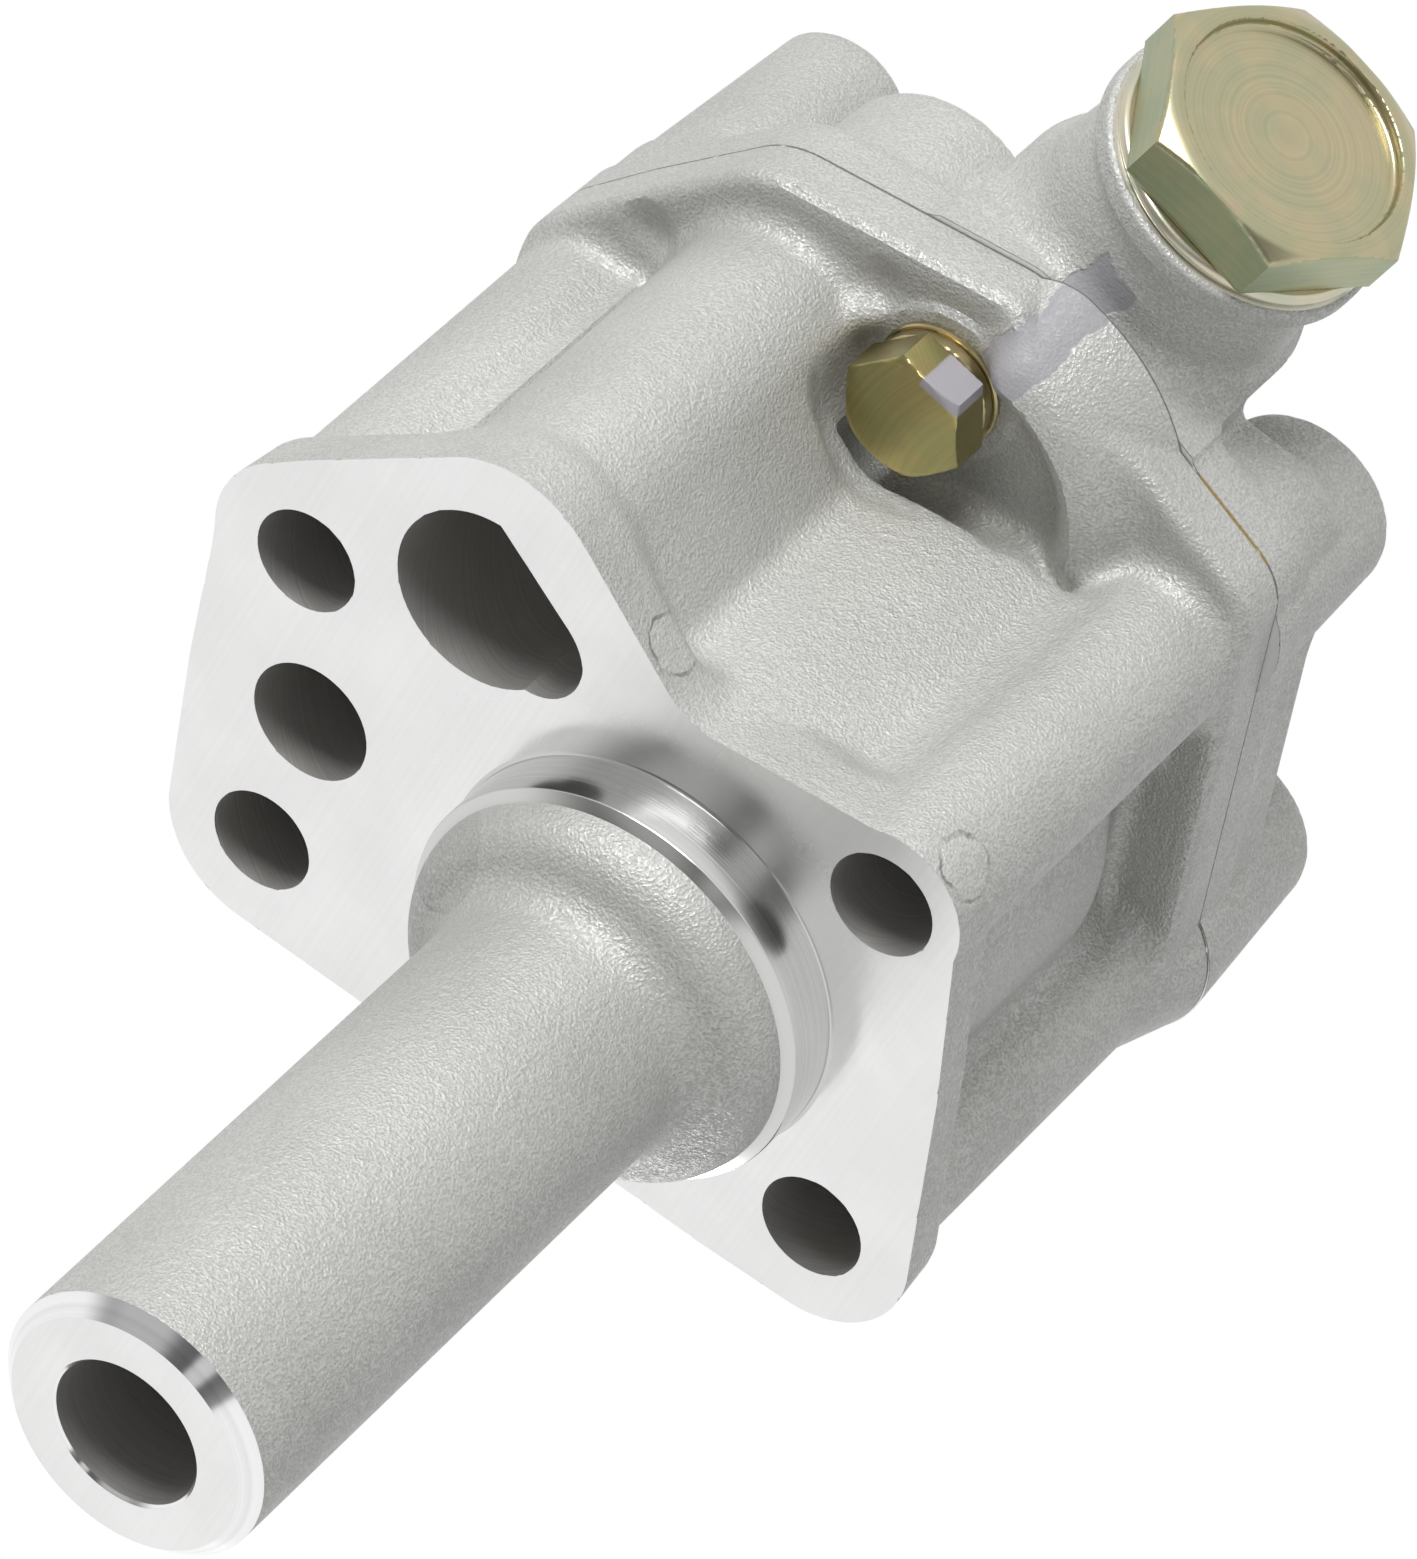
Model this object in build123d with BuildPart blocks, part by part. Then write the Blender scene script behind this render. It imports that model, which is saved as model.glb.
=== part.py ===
from build123d import *
import math
import os

os.makedirs("parts", exist_ok=True)

# Engine oil pump with a gerotor and a relief valve. The origin lies on the shaft axis, in the face
# that bolts to the engine. +Z runs along the snout, +Y towards the wider pair of bolts' port side.

# Heights along the shaft axis
snout_top = 66.8
spigot_height = 5.5
spigot_chamfer = 0.6
flange_thickness = 5.5
flange_draft = 3.0
parting_z = -44.0
rim_thickness = 5.0
cover_plate_thickness = 10.7
cover_lip_thickness = 4.7
floor_corner_radius = 6.9
floor_corner_shift = 4.0
section_overlap = 1.0

# Bolt holes: an upper pair beside the ports and a lower pair, each pair parallel to X
bolt_hole_radius = 4.5
upper_pair_y = 34.0
upper_pair_x = 4.53
upper_pair_spacing = 29.45
lower_pair_y = -19.1
lower_pair_x = 0.27
lower_pair_spacing = 34.4

# Snout and spigot
snout_radius = 11.35
snout_tip_radius = 10.0
snout_tip_chamfer = 1.4
spigot_radius = 17.47
shoulder_radius = 16.53
shoulder_round = 4.5
shoulder_fillet = 4.0
spindle_bore_radius = 6.19
spindle_bore_depth = 28.8
shaft_bore_radius = 5.5

# Flange outline: rounded corners about the bolt holes and a lobe about the port
upper_right_corner = 8.5
upper_left_corner = 8.9
lower_right_corner = 6.6
lower_left_corner = 8.8
port_lobe_radius = 9.5
port_lobe_centre = (28.6, 17.8)
port_lobe_root = (8.0, 8.0)
port_lobe_root_radius = 17.2
flange_waist_inset = 0.22
flange_top_shift = 6.0
flange_waist_fillet = 4.0

# Ports in the mounting face
port_radius = 7.8
port_centre = (24.9, 18.4)
port_side_radius = 4.25
port_side_centre = (23.0, 13.3)
port_flat_angle = 40.5
port_flat_distance = 6.2
port_depth = 22.0
gallery_radius = 5.27
gallery_centre = (4.1, 31.4)
gallery_depth = 24.0

# Columns and walls between flange and rim
upper_column_radius = 6.55
lower_column_radius = 7.0
chamber_wall_radius = 23.5
chamber_wall_y = 1.0
port_column_radius = 10.2
port_column_inner = (24.9, 18.4)
port_column_outer = (28.2, 17.9)
port_column_outer_radius = 9.0
column_fillet = 2.6
neck_radius = 18.0
port_column_root = (10.0, 10.0)
port_column_root_radius = 12.0

# Panel below the port column, with a relief for the cover bolt
panel_radius = 30.0
panel_centre = (-6.7, -3.5)
panel_low_z = -32.0
panel_top_y = 9.0
panel_bottom_y = -15.0
panel_width = 16.0
panel_draft = 3.0
pocket_floor_x = 21.4
pocket_low_y = -7.0
pocket_high_y = 8.0
bolt_clearance_radius = 7.2
lower_pocket_y = -20.6
lower_pocket_width = 30.0
lower_pocket_height = 5.0
lower_pocket_gap = 0.2
ridge_points = [(22.0, -14.5), (31.0, -10.6), (35.2, -3.4)]
ridge_width = 2.6
ridge_height = 4.0
ridge_draft = 6.0

# Rim and cover outline at the parting plane
rim_upper_corner = 7.8
rim_upper_corner_centre = (20.9, 33.6)
rim_lower_corner = 5.5
rim_lower_corner_centre = (22.0, -20.9)
rim_right_low_radius = 5.0
rim_right_low_centre = (36.05, 0.2)
rim_right_high_radius = 8.0
rim_right_high_centre = (33.05, 19.3)
rim_left_radius = 7.3
ear_radius = 9.1
ear_start_z = -37.0

# Rotor set: the outer rotor's axis is offset from the shaft along +Y
eccentricity = 2.6
inner_lobes = 4
lobe_circle_radius = 20.2
lobe_tip_radius = 10.9
rotor_thickness = 17.9
rotor_clearance = 0.05
outer_rotor_wall = 2.73

# Shaft, bushes, pin
shaft_clearance = 0.04
shaft_recess = 2.0
shaft_slot_width = 4.2
shaft_slot_depth = 6.0
shaft_edge = 0.6
bush_wall = 2.15
body_bush_length = 16.0
cover_bush_length = 5.0
pin_radius = 2.0
pin_length = 15.4
pin_depth = 1.5
pin_edge = 0.4
pin_end_gap = 0.2
profile_points = 48
outer_rotor_clearance = 0.07

# Kidney ports beside the rotors
kidney_radius = 11.6
kidney_width = 6.6
kidney_half_angle = 50.0
kidney_depth = 6.0
cover_kidney_depth = 2.5
channel_width = 7.0
port_channel_start = (10.0, 6.0)
gallery_channel_start = (-9.0, 10.0)

# Cover bosses: radius at the plate, radius at the end, end height
boss_edge_round = 0.8
upper_boss_base_radius = 8.0
upper_boss_end_radius = 6.6
upper_boss_end_z = -76.0
port_boss_base_radius = 10.5
port_boss_end_radius = 9.5
port_boss_end_z = -65.0
lower_right_boss_base_radius = 8.5
lower_right_boss_end_radius = 8.0
lower_left_boss_base_radius = 9.2
lower_left_boss_end_radius = 8.0
lower_boss_end_z = -62.1

# Relief valve, along a horizontal axis that passes beside the shaft
valve_angle = -26.5
valve_offset = 12.65
valve_z = -57.5
valve_block_radius = 12.95
valve_boss_root_radius = 12.9
valve_boss_end_radius = 11.3
valve_boss_cone_start = 23.0
valve_collar_start = 45.0
valve_collar_radius = 12.5
valve_collar_blend = 0.6
valve_mouth = 47.6
valve_block_proud = 0.35
valve_bore_radius = 6.5
valve_seat = 6.5
valve_seat_radius = 5.0
valve_bore_end = 0.0
valve_end_wall = 4.0
valve_thread_radius = 9.0
valve_thread_depth = 13.5
valve_spill_radius = 3.0
valve_spill_along = 15.5
valve_feed_radius = 2.5
valve_feed_along = 3.3
piston_clearance = 0.05
piston_length = 18.0
piston_crown = 3.5
piston_wall = 1.6
spring_wire = 1.5
spring_clearance = 0.3
spring_turns = 8
shim_thickness = 1.0
plug_washer_thickness = 1.2
plug_washer_radius = 12.6
plug_across_flats = 22.0
plug_head_height = 5.6
plug_chamfer = 1.1
plug_chamfer_slope = 0.58
plug_dish_radius = 9.7
plug_dish_depth = 1.0
plug_stud_length = 12.0
plug_stud_clearance = 0.05
plug_bore_radius = 5.6
plug_bore_depth = 6.0

# Cover bolt and its washers
cover_bolt_x = 31.3
cover_bolt_y = 2.9
cover_bolt_radius = 3.0
cover_bolt_across_flats = 10.0
cover_bolt_head_height = 4.0
cover_bolt_length = 12.0
spring_washer_thickness = 1.3
spring_washer_radius = 5.2
plain_washer_thickness = 0.5
plain_washer_radius = 5.6
bolt_seat_height = 0.5
bolt_seat_radius = 6.6
bolt_hole_clearance = 0.3
bolt_thread_clearance = 0.05
bolt_tip_room = 0.6
cover_bolt_chamfer = 0.8
cover_bolt_turn = 10.0
spring_washer_gap = 0.6
spring_washer_gap_angle = -60.0

# Dowel pins
dowel_radius = 2.5
dowel_length = 7.6
dowel_edge = 0.4
dowel_right = (29.0, -12.0)
dowel_left = (-16.0, 24.0)

# Places that follow from the sizes above
upper_right = (upper_pair_x + upper_pair_spacing / 2, upper_pair_y)
upper_left = (upper_pair_x - upper_pair_spacing / 2, upper_pair_y)
lower_right = (lower_pair_x + lower_pair_spacing / 2, lower_pair_y)
lower_left = (lower_pair_x - lower_pair_spacing / 2, lower_pair_y)
bolt_holes = [upper_right, upper_left, lower_right, lower_left]
rotor_centre = (0, eccentricity)
kidney_centre = (0, eccentricity / 2)
rim_top_z = parting_z + rim_thickness
chamber_roof_z = parting_z + rotor_thickness + 2 * rotor_clearance
cover_bottom_z = parting_z - cover_plate_thickness
cover_lip_z = parting_z - cover_lip_thickness
bolt_seat_z = rim_top_z + bolt_seat_height
bush_radius = shaft_bore_radius + bush_wall
shaft_radius = shaft_bore_radius - shaft_clearance
shaft_top = snout_top - spindle_bore_depth - shaft_recess
shaft_bottom_z = parting_z - cover_bush_length + rotor_clearance
rotor_bottom_z = parting_z + rotor_clearance
pin_z = rotor_bottom_z + rotor_thickness - pin_radius - pin_depth
lobe_radius = lobe_circle_radius - lobe_tip_radius
cavity_radius = lobe_tip_radius + 2 * eccentricity + 2 * rotor_clearance
chamber_radius = cavity_radius + outer_rotor_wall + outer_rotor_clearance
bolt_head_z = bolt_seat_z + plain_washer_thickness + spring_washer_thickness + cover_bolt_head_height
bolt_tip_z = bolt_head_z - cover_bolt_head_height - cover_bolt_length
plug_seat = valve_mouth + plug_washer_thickness
plug_corner_radius = plug_across_flats / math.sqrt(3)
plug_bore_floor = plug_seat - plug_stud_length + plug_bore_depth
spring_start = valve_seat + piston_crown
spring_length = plug_bore_floor - shim_thickness - spring_start - spring_wire
spring_radius = valve_bore_radius - piston_clearance - piston_wall - spring_clearance - spring_wire / 2
cover_bosses = [
    (upper_right, parting_z, upper_boss_base_radius, upper_boss_end_radius, upper_boss_end_z),
    (upper_left, parting_z, upper_boss_base_radius, upper_boss_end_radius, upper_boss_end_z),
    (port_centre, parting_z, port_boss_base_radius, port_boss_end_radius, port_boss_end_z),
    (lower_right, cover_lip_z, lower_right_boss_base_radius, lower_right_boss_end_radius, lower_boss_end_z),
    (lower_left, parting_z, lower_left_boss_base_radius, lower_left_boss_end_radius, lower_boss_end_z),
]

valve_cos = math.cos(math.radians(valve_angle))
valve_sin = math.sin(math.radians(valve_angle))
valve_dir = Vector(valve_cos, valve_sin, 0)
valve_side = Vector(-valve_sin, valve_cos, 0)


def level(height):
    return Plane.XY.offset(height)


def valve_point(along):
    return valve_dir * along + valve_side * valve_offset + Vector(0, 0, valve_z)


def valve_plane(along):
    return Plane(origin=valve_point(along), x_dir=valve_side, z_dir=valve_dir)


def rounded_outline(plane, discs):
    """Outline drawn by a band stretched around the given discs, each (centre, radius)."""
    with BuildSketch(plane) as outline:
        for centre, radius in discs:
            with Locations(centre):
                Circle(radius)
        make_hull()
    return outline.sketch


def drafted_boss(base_z, end_z, base_radius, end_radius, centre):
    """Round boss that tapers from its base to its end, with a rounded end edge."""
    with BuildPart() as boss:
        with BuildSketch(Plane.XZ.offset(-centre[1])):
            with BuildLine():
                Polyline(
                    (centre[0], base_z),
                    (centre[0] + base_radius, base_z),
                    (centre[0] + end_radius, end_z),
                    (centre[0], end_z),
                    close=True,
                )
            make_face()
        revolve(axis=Axis((centre[0], centre[1], 0), (0, 0, 1)))
        fillet(boss.edges().filter_by(GeomType.CIRCLE).group_by(Axis.Z)[0 if end_z < base_z else -1],
               boss_edge_round)
    return boss.part


flange_discs = [
    (upper_left, upper_left_corner),
    (lower_left, lower_left_corner),
    (lower_right, lower_right_corner),
    ((lower_right[0] - flange_waist_inset, 0), lower_right_corner),
    ((upper_right[0] - flange_top_shift, upper_right[1]), upper_right_corner),
]
cover_floor_discs = [
    (upper_left, upper_boss_base_radius),
    (upper_right, upper_boss_base_radius),
    (port_centre, port_boss_base_radius),
    ((lower_right[0] + floor_corner_shift, lower_right[1]), floor_corner_radius),
    (lower_left, floor_corner_radius),
]
flange_lobe_discs = [
    (upper_right, upper_right_corner),
    (port_lobe_centre, port_lobe_radius),
    (port_lobe_root, port_lobe_root_radius),
]
rim_discs = [
    (upper_left, upper_left_corner),
    (rim_upper_corner_centre, rim_upper_corner),
    (rim_right_high_centre, rim_right_high_radius),
    (rim_right_low_centre, rim_right_low_radius),
    (rim_lower_corner_centre, rim_lower_corner),
    (lower_left, rim_left_radius),
]


def column_section(plane):
    """Section of the body between flange and rim: chamber wall, bolt columns, port column, panel."""
    top_wall = rounded_outline(plane, [(upper_right, upper_column_radius), (upper_left, upper_column_radius)])
    neck = rounded_outline(plane, [(upper_left, upper_column_radius), ((0, chamber_wall_y), neck_radius)])
    gallery = rounded_outline(plane, [(upper_right, gallery_radius), ((0, chamber_wall_y), neck_radius)])
    port = rounded_outline(
        plane,
        [
            (port_column_inner, port_column_radius),
            (port_column_outer, port_column_outer_radius),
            (port_column_root, port_column_root_radius),
        ],
    )
    with BuildSketch(plane) as section:
        with Locations((0, chamber_wall_y)):
            Circle(chamber_wall_radius)
        with Locations(lower_right, lower_left):
            Circle(lower_column_radius)
        add(top_wall)
        add(neck)
        add(gallery)
        add(port)
        offset(amount=column_fillet, kind=Kind.ARC)
        offset(amount=-column_fillet, kind=Kind.ARC, mode=Mode.REPLACE)
    return section.sketch


# Pump body: one casting with flange, snout, columns and rim
with BuildPart() as pump_body:
    with BuildSketch(level(0)):
        add(rounded_outline(level(0), flange_discs))
        add(rounded_outline(level(0), flange_lobe_discs))
        offset(amount=flange_waist_fillet)
        offset(amount=-flange_waist_fillet, mode=Mode.REPLACE)
    extrude(amount=-flange_thickness, taper=flange_draft)
    add(column_section(level(rim_top_z - section_overlap)))
    extrude(amount=section_overlap - rim_top_z - flange_thickness / 2)
    add(rounded_outline(level(parting_z), rim_discs))
    extrude(amount=rim_thickness)
    # Ears about the lower left and upper right bolts widen towards the cover
    for centre, column, ear in [
        (lower_left, lower_column_radius, ear_radius),
        (upper_right, upper_column_radius, upper_boss_base_radius),
    ]:
        with Locations((*centre, (parting_z + ear_start_z) / 2)):
            Cone(ear, column, ear_start_z - parting_z)
    # Snout with its spigot, cast shoulder and fillet
    fillet_x = snout_radius + shoulder_fillet
    round_x = shoulder_radius - shoulder_round
    turn = math.acos((fillet_x - round_x) / (shoulder_round + shoulder_fillet))
    join_x = round_x + shoulder_round * math.cos(turn)
    join_z = spigot_height + shoulder_round * math.sin(turn)
    fillet_z = spigot_height + (shoulder_round + shoulder_fillet) * math.sin(turn)
    with BuildSketch(Plane.XZ) as snout_profile:
        with BuildLine():
            Polyline(
                (0, snout_top),
                (0, -flange_thickness),
                (spigot_radius, -flange_thickness),
                (spigot_radius, spigot_height - spigot_chamfer),
                (shoulder_radius, spigot_height),
            )
            RadiusArc((shoulder_radius, spigot_height), (join_x, join_z), -shoulder_round)
            RadiusArc((join_x, join_z), (snout_radius, fillet_z), shoulder_fillet)
            Polyline(
                (snout_radius, fillet_z),
                (snout_radius, snout_top - snout_tip_chamfer),
                (snout_tip_radius, snout_top),
                (0, snout_top),
            )
        make_face()
    revolve(axis=Axis.Z)
    # Panel between the port column and the lower right column, drafted outwards towards the cover
    with BuildSketch(level(-flange_thickness / 2)):
        with Locations(panel_centre):
            Circle(panel_radius)
        with Locations((panel_centre[0] + panel_radius, (panel_top_y + panel_bottom_y) / 2)):
            Rectangle(panel_width, panel_top_y - panel_bottom_y, mode=Mode.INTERSECT)
    extrude(amount=panel_low_z + flange_thickness / 2, taper=-panel_draft)
    # Pocket under the panel's lower edge and clearance for the cover bolt's head
    with BuildSketch(level(rim_top_z)):
        with Locations((pocket_floor_x, (pocket_low_y + pocket_high_y) / 2)):
            Rectangle(panel_width, pocket_high_y - pocket_low_y, align=(Align.MIN, Align.CENTER))
        with Locations((cover_bolt_x, cover_bolt_y)):
            Circle(bolt_clearance_radius)
    extrude(amount=panel_low_z - rim_top_z, mode=Mode.SUBTRACT)
    # Pocket between the lower columns, above the rim
    with BuildSketch(level(rim_top_z)):
        with Locations((lower_pair_x, lower_pocket_y)):
            Rectangle(lower_pocket_width, chamber_wall_radius, align=(Align.CENTER, Align.MAX))
        with Locations(lower_left, lower_right):
            Circle(lower_column_radius + lower_pocket_gap, mode=Mode.SUBTRACT)
    extrude(amount=lower_pocket_height, mode=Mode.SUBTRACT)
    # Curved ridge that runs from the lower right column towards the cover bolt
    with BuildSketch(level(rim_top_z)):
        with BuildLine():
            ThreePointArc(*ridge_points)
        trace(line_width=ridge_width)
    extrude(amount=ridge_height, taper=ridge_draft)
    # Spot face for the cover bolt
    with BuildSketch(level(rim_top_z)):
        with Locations((cover_bolt_x, cover_bolt_y)):
            Circle(bolt_seat_radius)
    extrude(amount=bolt_seat_height)
    # Bolt holes, shaft bore and the bush's seat
    with BuildSketch(level(0)):
        with Locations(*bolt_holes):
            Circle(bolt_hole_radius)
    extrude(amount=parting_z, mode=Mode.SUBTRACT)
    with BuildSketch(level(snout_top)):
        Circle(shaft_bore_radius)
    extrude(amount=parting_z - snout_top, mode=Mode.SUBTRACT)
    with BuildSketch(level(snout_top)):
        Circle(spindle_bore_radius)
    extrude(amount=-spindle_bore_depth, mode=Mode.SUBTRACT)
    with BuildSketch(level(chamber_roof_z)):
        Circle(bush_radius)
    extrude(amount=body_bush_length, mode=Mode.SUBTRACT)
    # Rotor chamber
    with BuildSketch(level(parting_z)):
        with Locations(rotor_centre):
            Circle(chamber_radius)
    extrude(amount=chamber_roof_z - parting_z, mode=Mode.SUBTRACT)
    # Port and gallery in the mounting face
    with BuildSketch(level(0)):
        with Locations(port_centre):
            Circle(port_radius)
        with Locations(Location((*port_centre, 0), -port_flat_angle)):
            with Locations((port_flat_distance + port_radius / 2, 0)):
                Rectangle(port_radius, 4 * port_radius, mode=Mode.SUBTRACT)
        with Locations(port_side_centre):
            Circle(port_side_radius)
    extrude(amount=-port_depth, mode=Mode.SUBTRACT)
    with BuildSketch(level(0)):
        with Locations(gallery_centre):
            Circle(gallery_radius)
    extrude(amount=-gallery_depth, mode=Mode.SUBTRACT)
    # Kidney ports in the chamber roof and the channels that join them to the ports
    with BuildSketch(level(chamber_roof_z)):
        for middle in (0, 180):
            start = middle - kidney_half_angle
            arc = CenterArc(kidney_centre, kidney_radius, start, 2 * kidney_half_angle, mode=Mode.PRIVATE)
            SlotArc(arc, kidney_width)
    extrude(amount=kidney_depth, mode=Mode.SUBTRACT)
    with BuildSketch(level(chamber_roof_z)):
        with BuildLine():
            Line(port_channel_start, port_centre)
        trace(line_width=channel_width)
        with BuildLine():
            Line(gallery_channel_start, gallery_centre)
        trace(line_width=channel_width)
    extrude(amount=kidney_depth, mode=Mode.SUBTRACT)
    # Clearance hole for the cover bolt and blind holes for the dowels
    with BuildSketch(level(parting_z)):
        with Locations((cover_bolt_x, cover_bolt_y)):
            Circle(cover_bolt_radius + bolt_hole_clearance)
    extrude(amount=bolt_seat_z - parting_z, mode=Mode.SUBTRACT)
    with BuildSketch(level(parting_z)):
        with Locations(dowel_right, dowel_left):
            Circle(dowel_radius)
    extrude(amount=dowel_length / 2, mode=Mode.SUBTRACT)
pump_body.part.label = "pump_body"
export_step(pump_body.part, "parts/pump_body.step")

# Root block of the valve boss: round below, straight-sided up to the parting plane, trimmed to
# the cover's outline so that it stands a little proud of the side wall
with BuildPart() as valve_block:
    with BuildSketch(valve_plane(valve_bore_end - valve_end_wall)):
        Circle(valve_block_radius)
        with Locations((0, (parting_z - valve_z) / 2)):
            Rectangle(2 * valve_block_radius, parting_z - valve_z)
    extrude(amount=valve_mouth)
    with BuildSketch(level(parting_z)) as trim:
        add(rounded_outline(level(parting_z), rim_discs))
        offset(amount=valve_block_proud)
    extrude(amount=parting_z - cover_bottom_z + 2 * valve_block_radius, both=True, mode=Mode.INTERSECT)

# Drafted valve boss with its collar
with BuildPart() as valve_boss:
    with BuildSketch(Plane(origin=valve_point(0), x_dir=valve_dir, z_dir=(0, 0, 1))):
        with BuildLine():
            Polyline(
                (valve_boss_cone_start, 0),
                (valve_boss_cone_start, valve_boss_root_radius),
                (valve_collar_start, valve_boss_end_radius),
                (valve_collar_start + valve_collar_blend, valve_collar_radius),
                (valve_mouth, valve_collar_radius),
                (valve_mouth, 0),
                close=True,
            )
        make_face()
    revolve(axis=Axis(valve_point(0), valve_dir))

# Pump cover: plate, bolt bosses, port boss and relief valve housing in one casting
with BuildPart() as pump_cover:
    add(rounded_outline(level(parting_z), rim_discs))
    extrude(amount=-cover_lip_thickness)
    add(rounded_outline(level(cover_lip_z + section_overlap), cover_floor_discs))
    extrude(amount=cover_bottom_z - cover_lip_z - section_overlap)
    add(valve_block.part)
    add(valve_boss.part)
    for centre, start_z, base, end, end_z in cover_bosses:
        add(drafted_boss(start_z, end_z, base, end, centre))
    # Cut back to the parting plane
    split(bisect_by=level(parting_z), keep=Keep.BOTTOM)
    # Bolt holes, blind shaft bore and bush seat
    with BuildSketch(level(parting_z)):
        with Locations(*bolt_holes):
            Circle(bolt_hole_radius)
    extrude(amount=upper_boss_end_z - parting_z, mode=Mode.SUBTRACT)
    with BuildSketch(level(parting_z)):
        Circle(bush_radius)
    extrude(amount=-cover_bush_length, mode=Mode.SUBTRACT)
    # Shallow kidneys that mirror those in the body
    with BuildSketch(level(parting_z)):
        for middle in (0, 180):
            start = middle - kidney_half_angle
            arc = CenterArc(kidney_centre, kidney_radius, start, 2 * kidney_half_angle, mode=Mode.PRIVATE)
            SlotArc(arc, kidney_width)
    extrude(amount=-cover_kidney_depth, mode=Mode.SUBTRACT)
    # Threaded hole for the cover bolt and blind holes for the dowels
    with BuildSketch(level(parting_z)):
        with Locations((cover_bolt_x, cover_bolt_y)):
            Circle(cover_bolt_radius)
    extrude(amount=bolt_tip_z - bolt_tip_room - parting_z, mode=Mode.SUBTRACT)
    with BuildSketch(level(parting_z)):
        with Locations(dowel_right, dowel_left):
            Circle(dowel_radius)
    extrude(amount=-dowel_length / 2, mode=Mode.SUBTRACT)
    # Relief valve bore, its seat, thread, feed hole and spill hole
    with BuildSketch(valve_plane(valve_seat)):
        Circle(valve_bore_radius)
    extrude(amount=valve_mouth - valve_seat, mode=Mode.SUBTRACT)
    with BuildSketch(valve_plane(valve_bore_end)):
        Circle(valve_seat_radius)
    extrude(amount=valve_seat - valve_bore_end, mode=Mode.SUBTRACT)
    with BuildSketch(valve_plane(valve_mouth)):
        Circle(valve_thread_radius)
    extrude(amount=-valve_thread_depth, mode=Mode.SUBTRACT)
    feed = valve_point(valve_feed_along)
    with BuildSketch(level(parting_z)):
        with Locations((feed.X, feed.Y)):
            Circle(valve_feed_radius)
    extrude(amount=valve_z - parting_z, mode=Mode.SUBTRACT)
    spill = valve_point(valve_spill_along)
    with BuildSketch(level(valve_z)):
        with Locations((spill.X, spill.Y)):
            Circle(valve_spill_radius)
    extrude(amount=-2 * valve_boss_root_radius, mode=Mode.SUBTRACT)
pump_cover.part.label = "pump_cover"
export_step(pump_cover.part, "parts/pump_cover.step")

# Drive shaft with a slot across its upper end and a cross hole for the rotor's pin
with BuildPart() as drive_shaft:
    with BuildSketch(level(shaft_bottom_z)):
        Circle(shaft_radius)
    extrude(amount=shaft_top - shaft_bottom_z)
    chamfer(drive_shaft.edges().filter_by(GeomType.CIRCLE), shaft_edge)
    with BuildSketch(level(shaft_top)):
        Rectangle(4 * shaft_radius, shaft_slot_width)
    extrude(amount=-shaft_slot_depth, mode=Mode.SUBTRACT)
    with BuildSketch(Plane(origin=(-pin_length, 0, pin_z), x_dir=(0, 1, 0), z_dir=(1, 0, 0))):
        Circle(pin_radius)
    extrude(amount=2 * pin_length, mode=Mode.SUBTRACT)
drive_shaft.part.label = "drive_shaft"
export_step(drive_shaft.part, "parts/drive_shaft.step")

# Cross pin that locks the inner rotor to the shaft
with BuildPart() as rotor_drive_pin:
    with BuildSketch(Plane(origin=(-pin_length / 2, 0, pin_z), x_dir=(0, 1, 0), z_dir=(1, 0, 0))):
        Circle(pin_radius)
    extrude(amount=pin_length)
    chamfer(rotor_drive_pin.edges().filter_by(GeomType.CIRCLE), pin_edge)
rotor_drive_pin.part.label = "rotor_drive_pin"
export_step(rotor_drive_pin.part, "parts/rotor_drive_pin.step")


def inner_rotor_point(turn):
    """Point of the inner rotor's profile: the path of an outer lobe's centre, moved in by the lobe."""
    outer_lobes = inner_lobes + 1
    path_x = lobe_circle_radius * math.cos(turn) + eccentricity * math.cos(outer_lobes * turn)
    path_y = lobe_circle_radius * math.sin(turn) + eccentricity * math.sin(outer_lobes * turn)
    step_x = -lobe_circle_radius * math.sin(turn) - outer_lobes * eccentricity * math.sin(outer_lobes * turn)
    step_y = lobe_circle_radius * math.cos(turn) + outer_lobes * eccentricity * math.cos(outer_lobes * turn)
    inward = (lobe_radius + rotor_clearance) / math.hypot(step_x, step_y)
    return (path_x - inward * step_y, path_y + inward * step_x)


# Inner rotor with four lobes, a shaft bore and a slot for the pin
with BuildPart() as inner_rotor:
    with BuildSketch(level(rotor_bottom_z)):
        with BuildLine():
            points = [inner_rotor_point(2 * math.pi * i / profile_points) for i in range(profile_points)]
            Spline(*points, periodic=True)
        make_face()
        Circle(shaft_radius, mode=Mode.SUBTRACT)
    extrude(amount=rotor_thickness)
    with BuildSketch(level(pin_z)):
        Rectangle(pin_length + 2 * pin_end_gap, 2 * pin_radius)
    extrude(amount=rotor_thickness, mode=Mode.SUBTRACT)
    with BuildSketch(Plane(origin=(-pin_length / 2 - pin_end_gap, 0, pin_z), x_dir=(0, 1, 0), z_dir=(1, 0, 0))):
        Circle(pin_radius)
    extrude(amount=pin_length + 2 * pin_end_gap, mode=Mode.SUBTRACT)
inner_rotor.part.label = "inner_rotor"
export_step(inner_rotor.part, "parts/inner_rotor.step")

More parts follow.
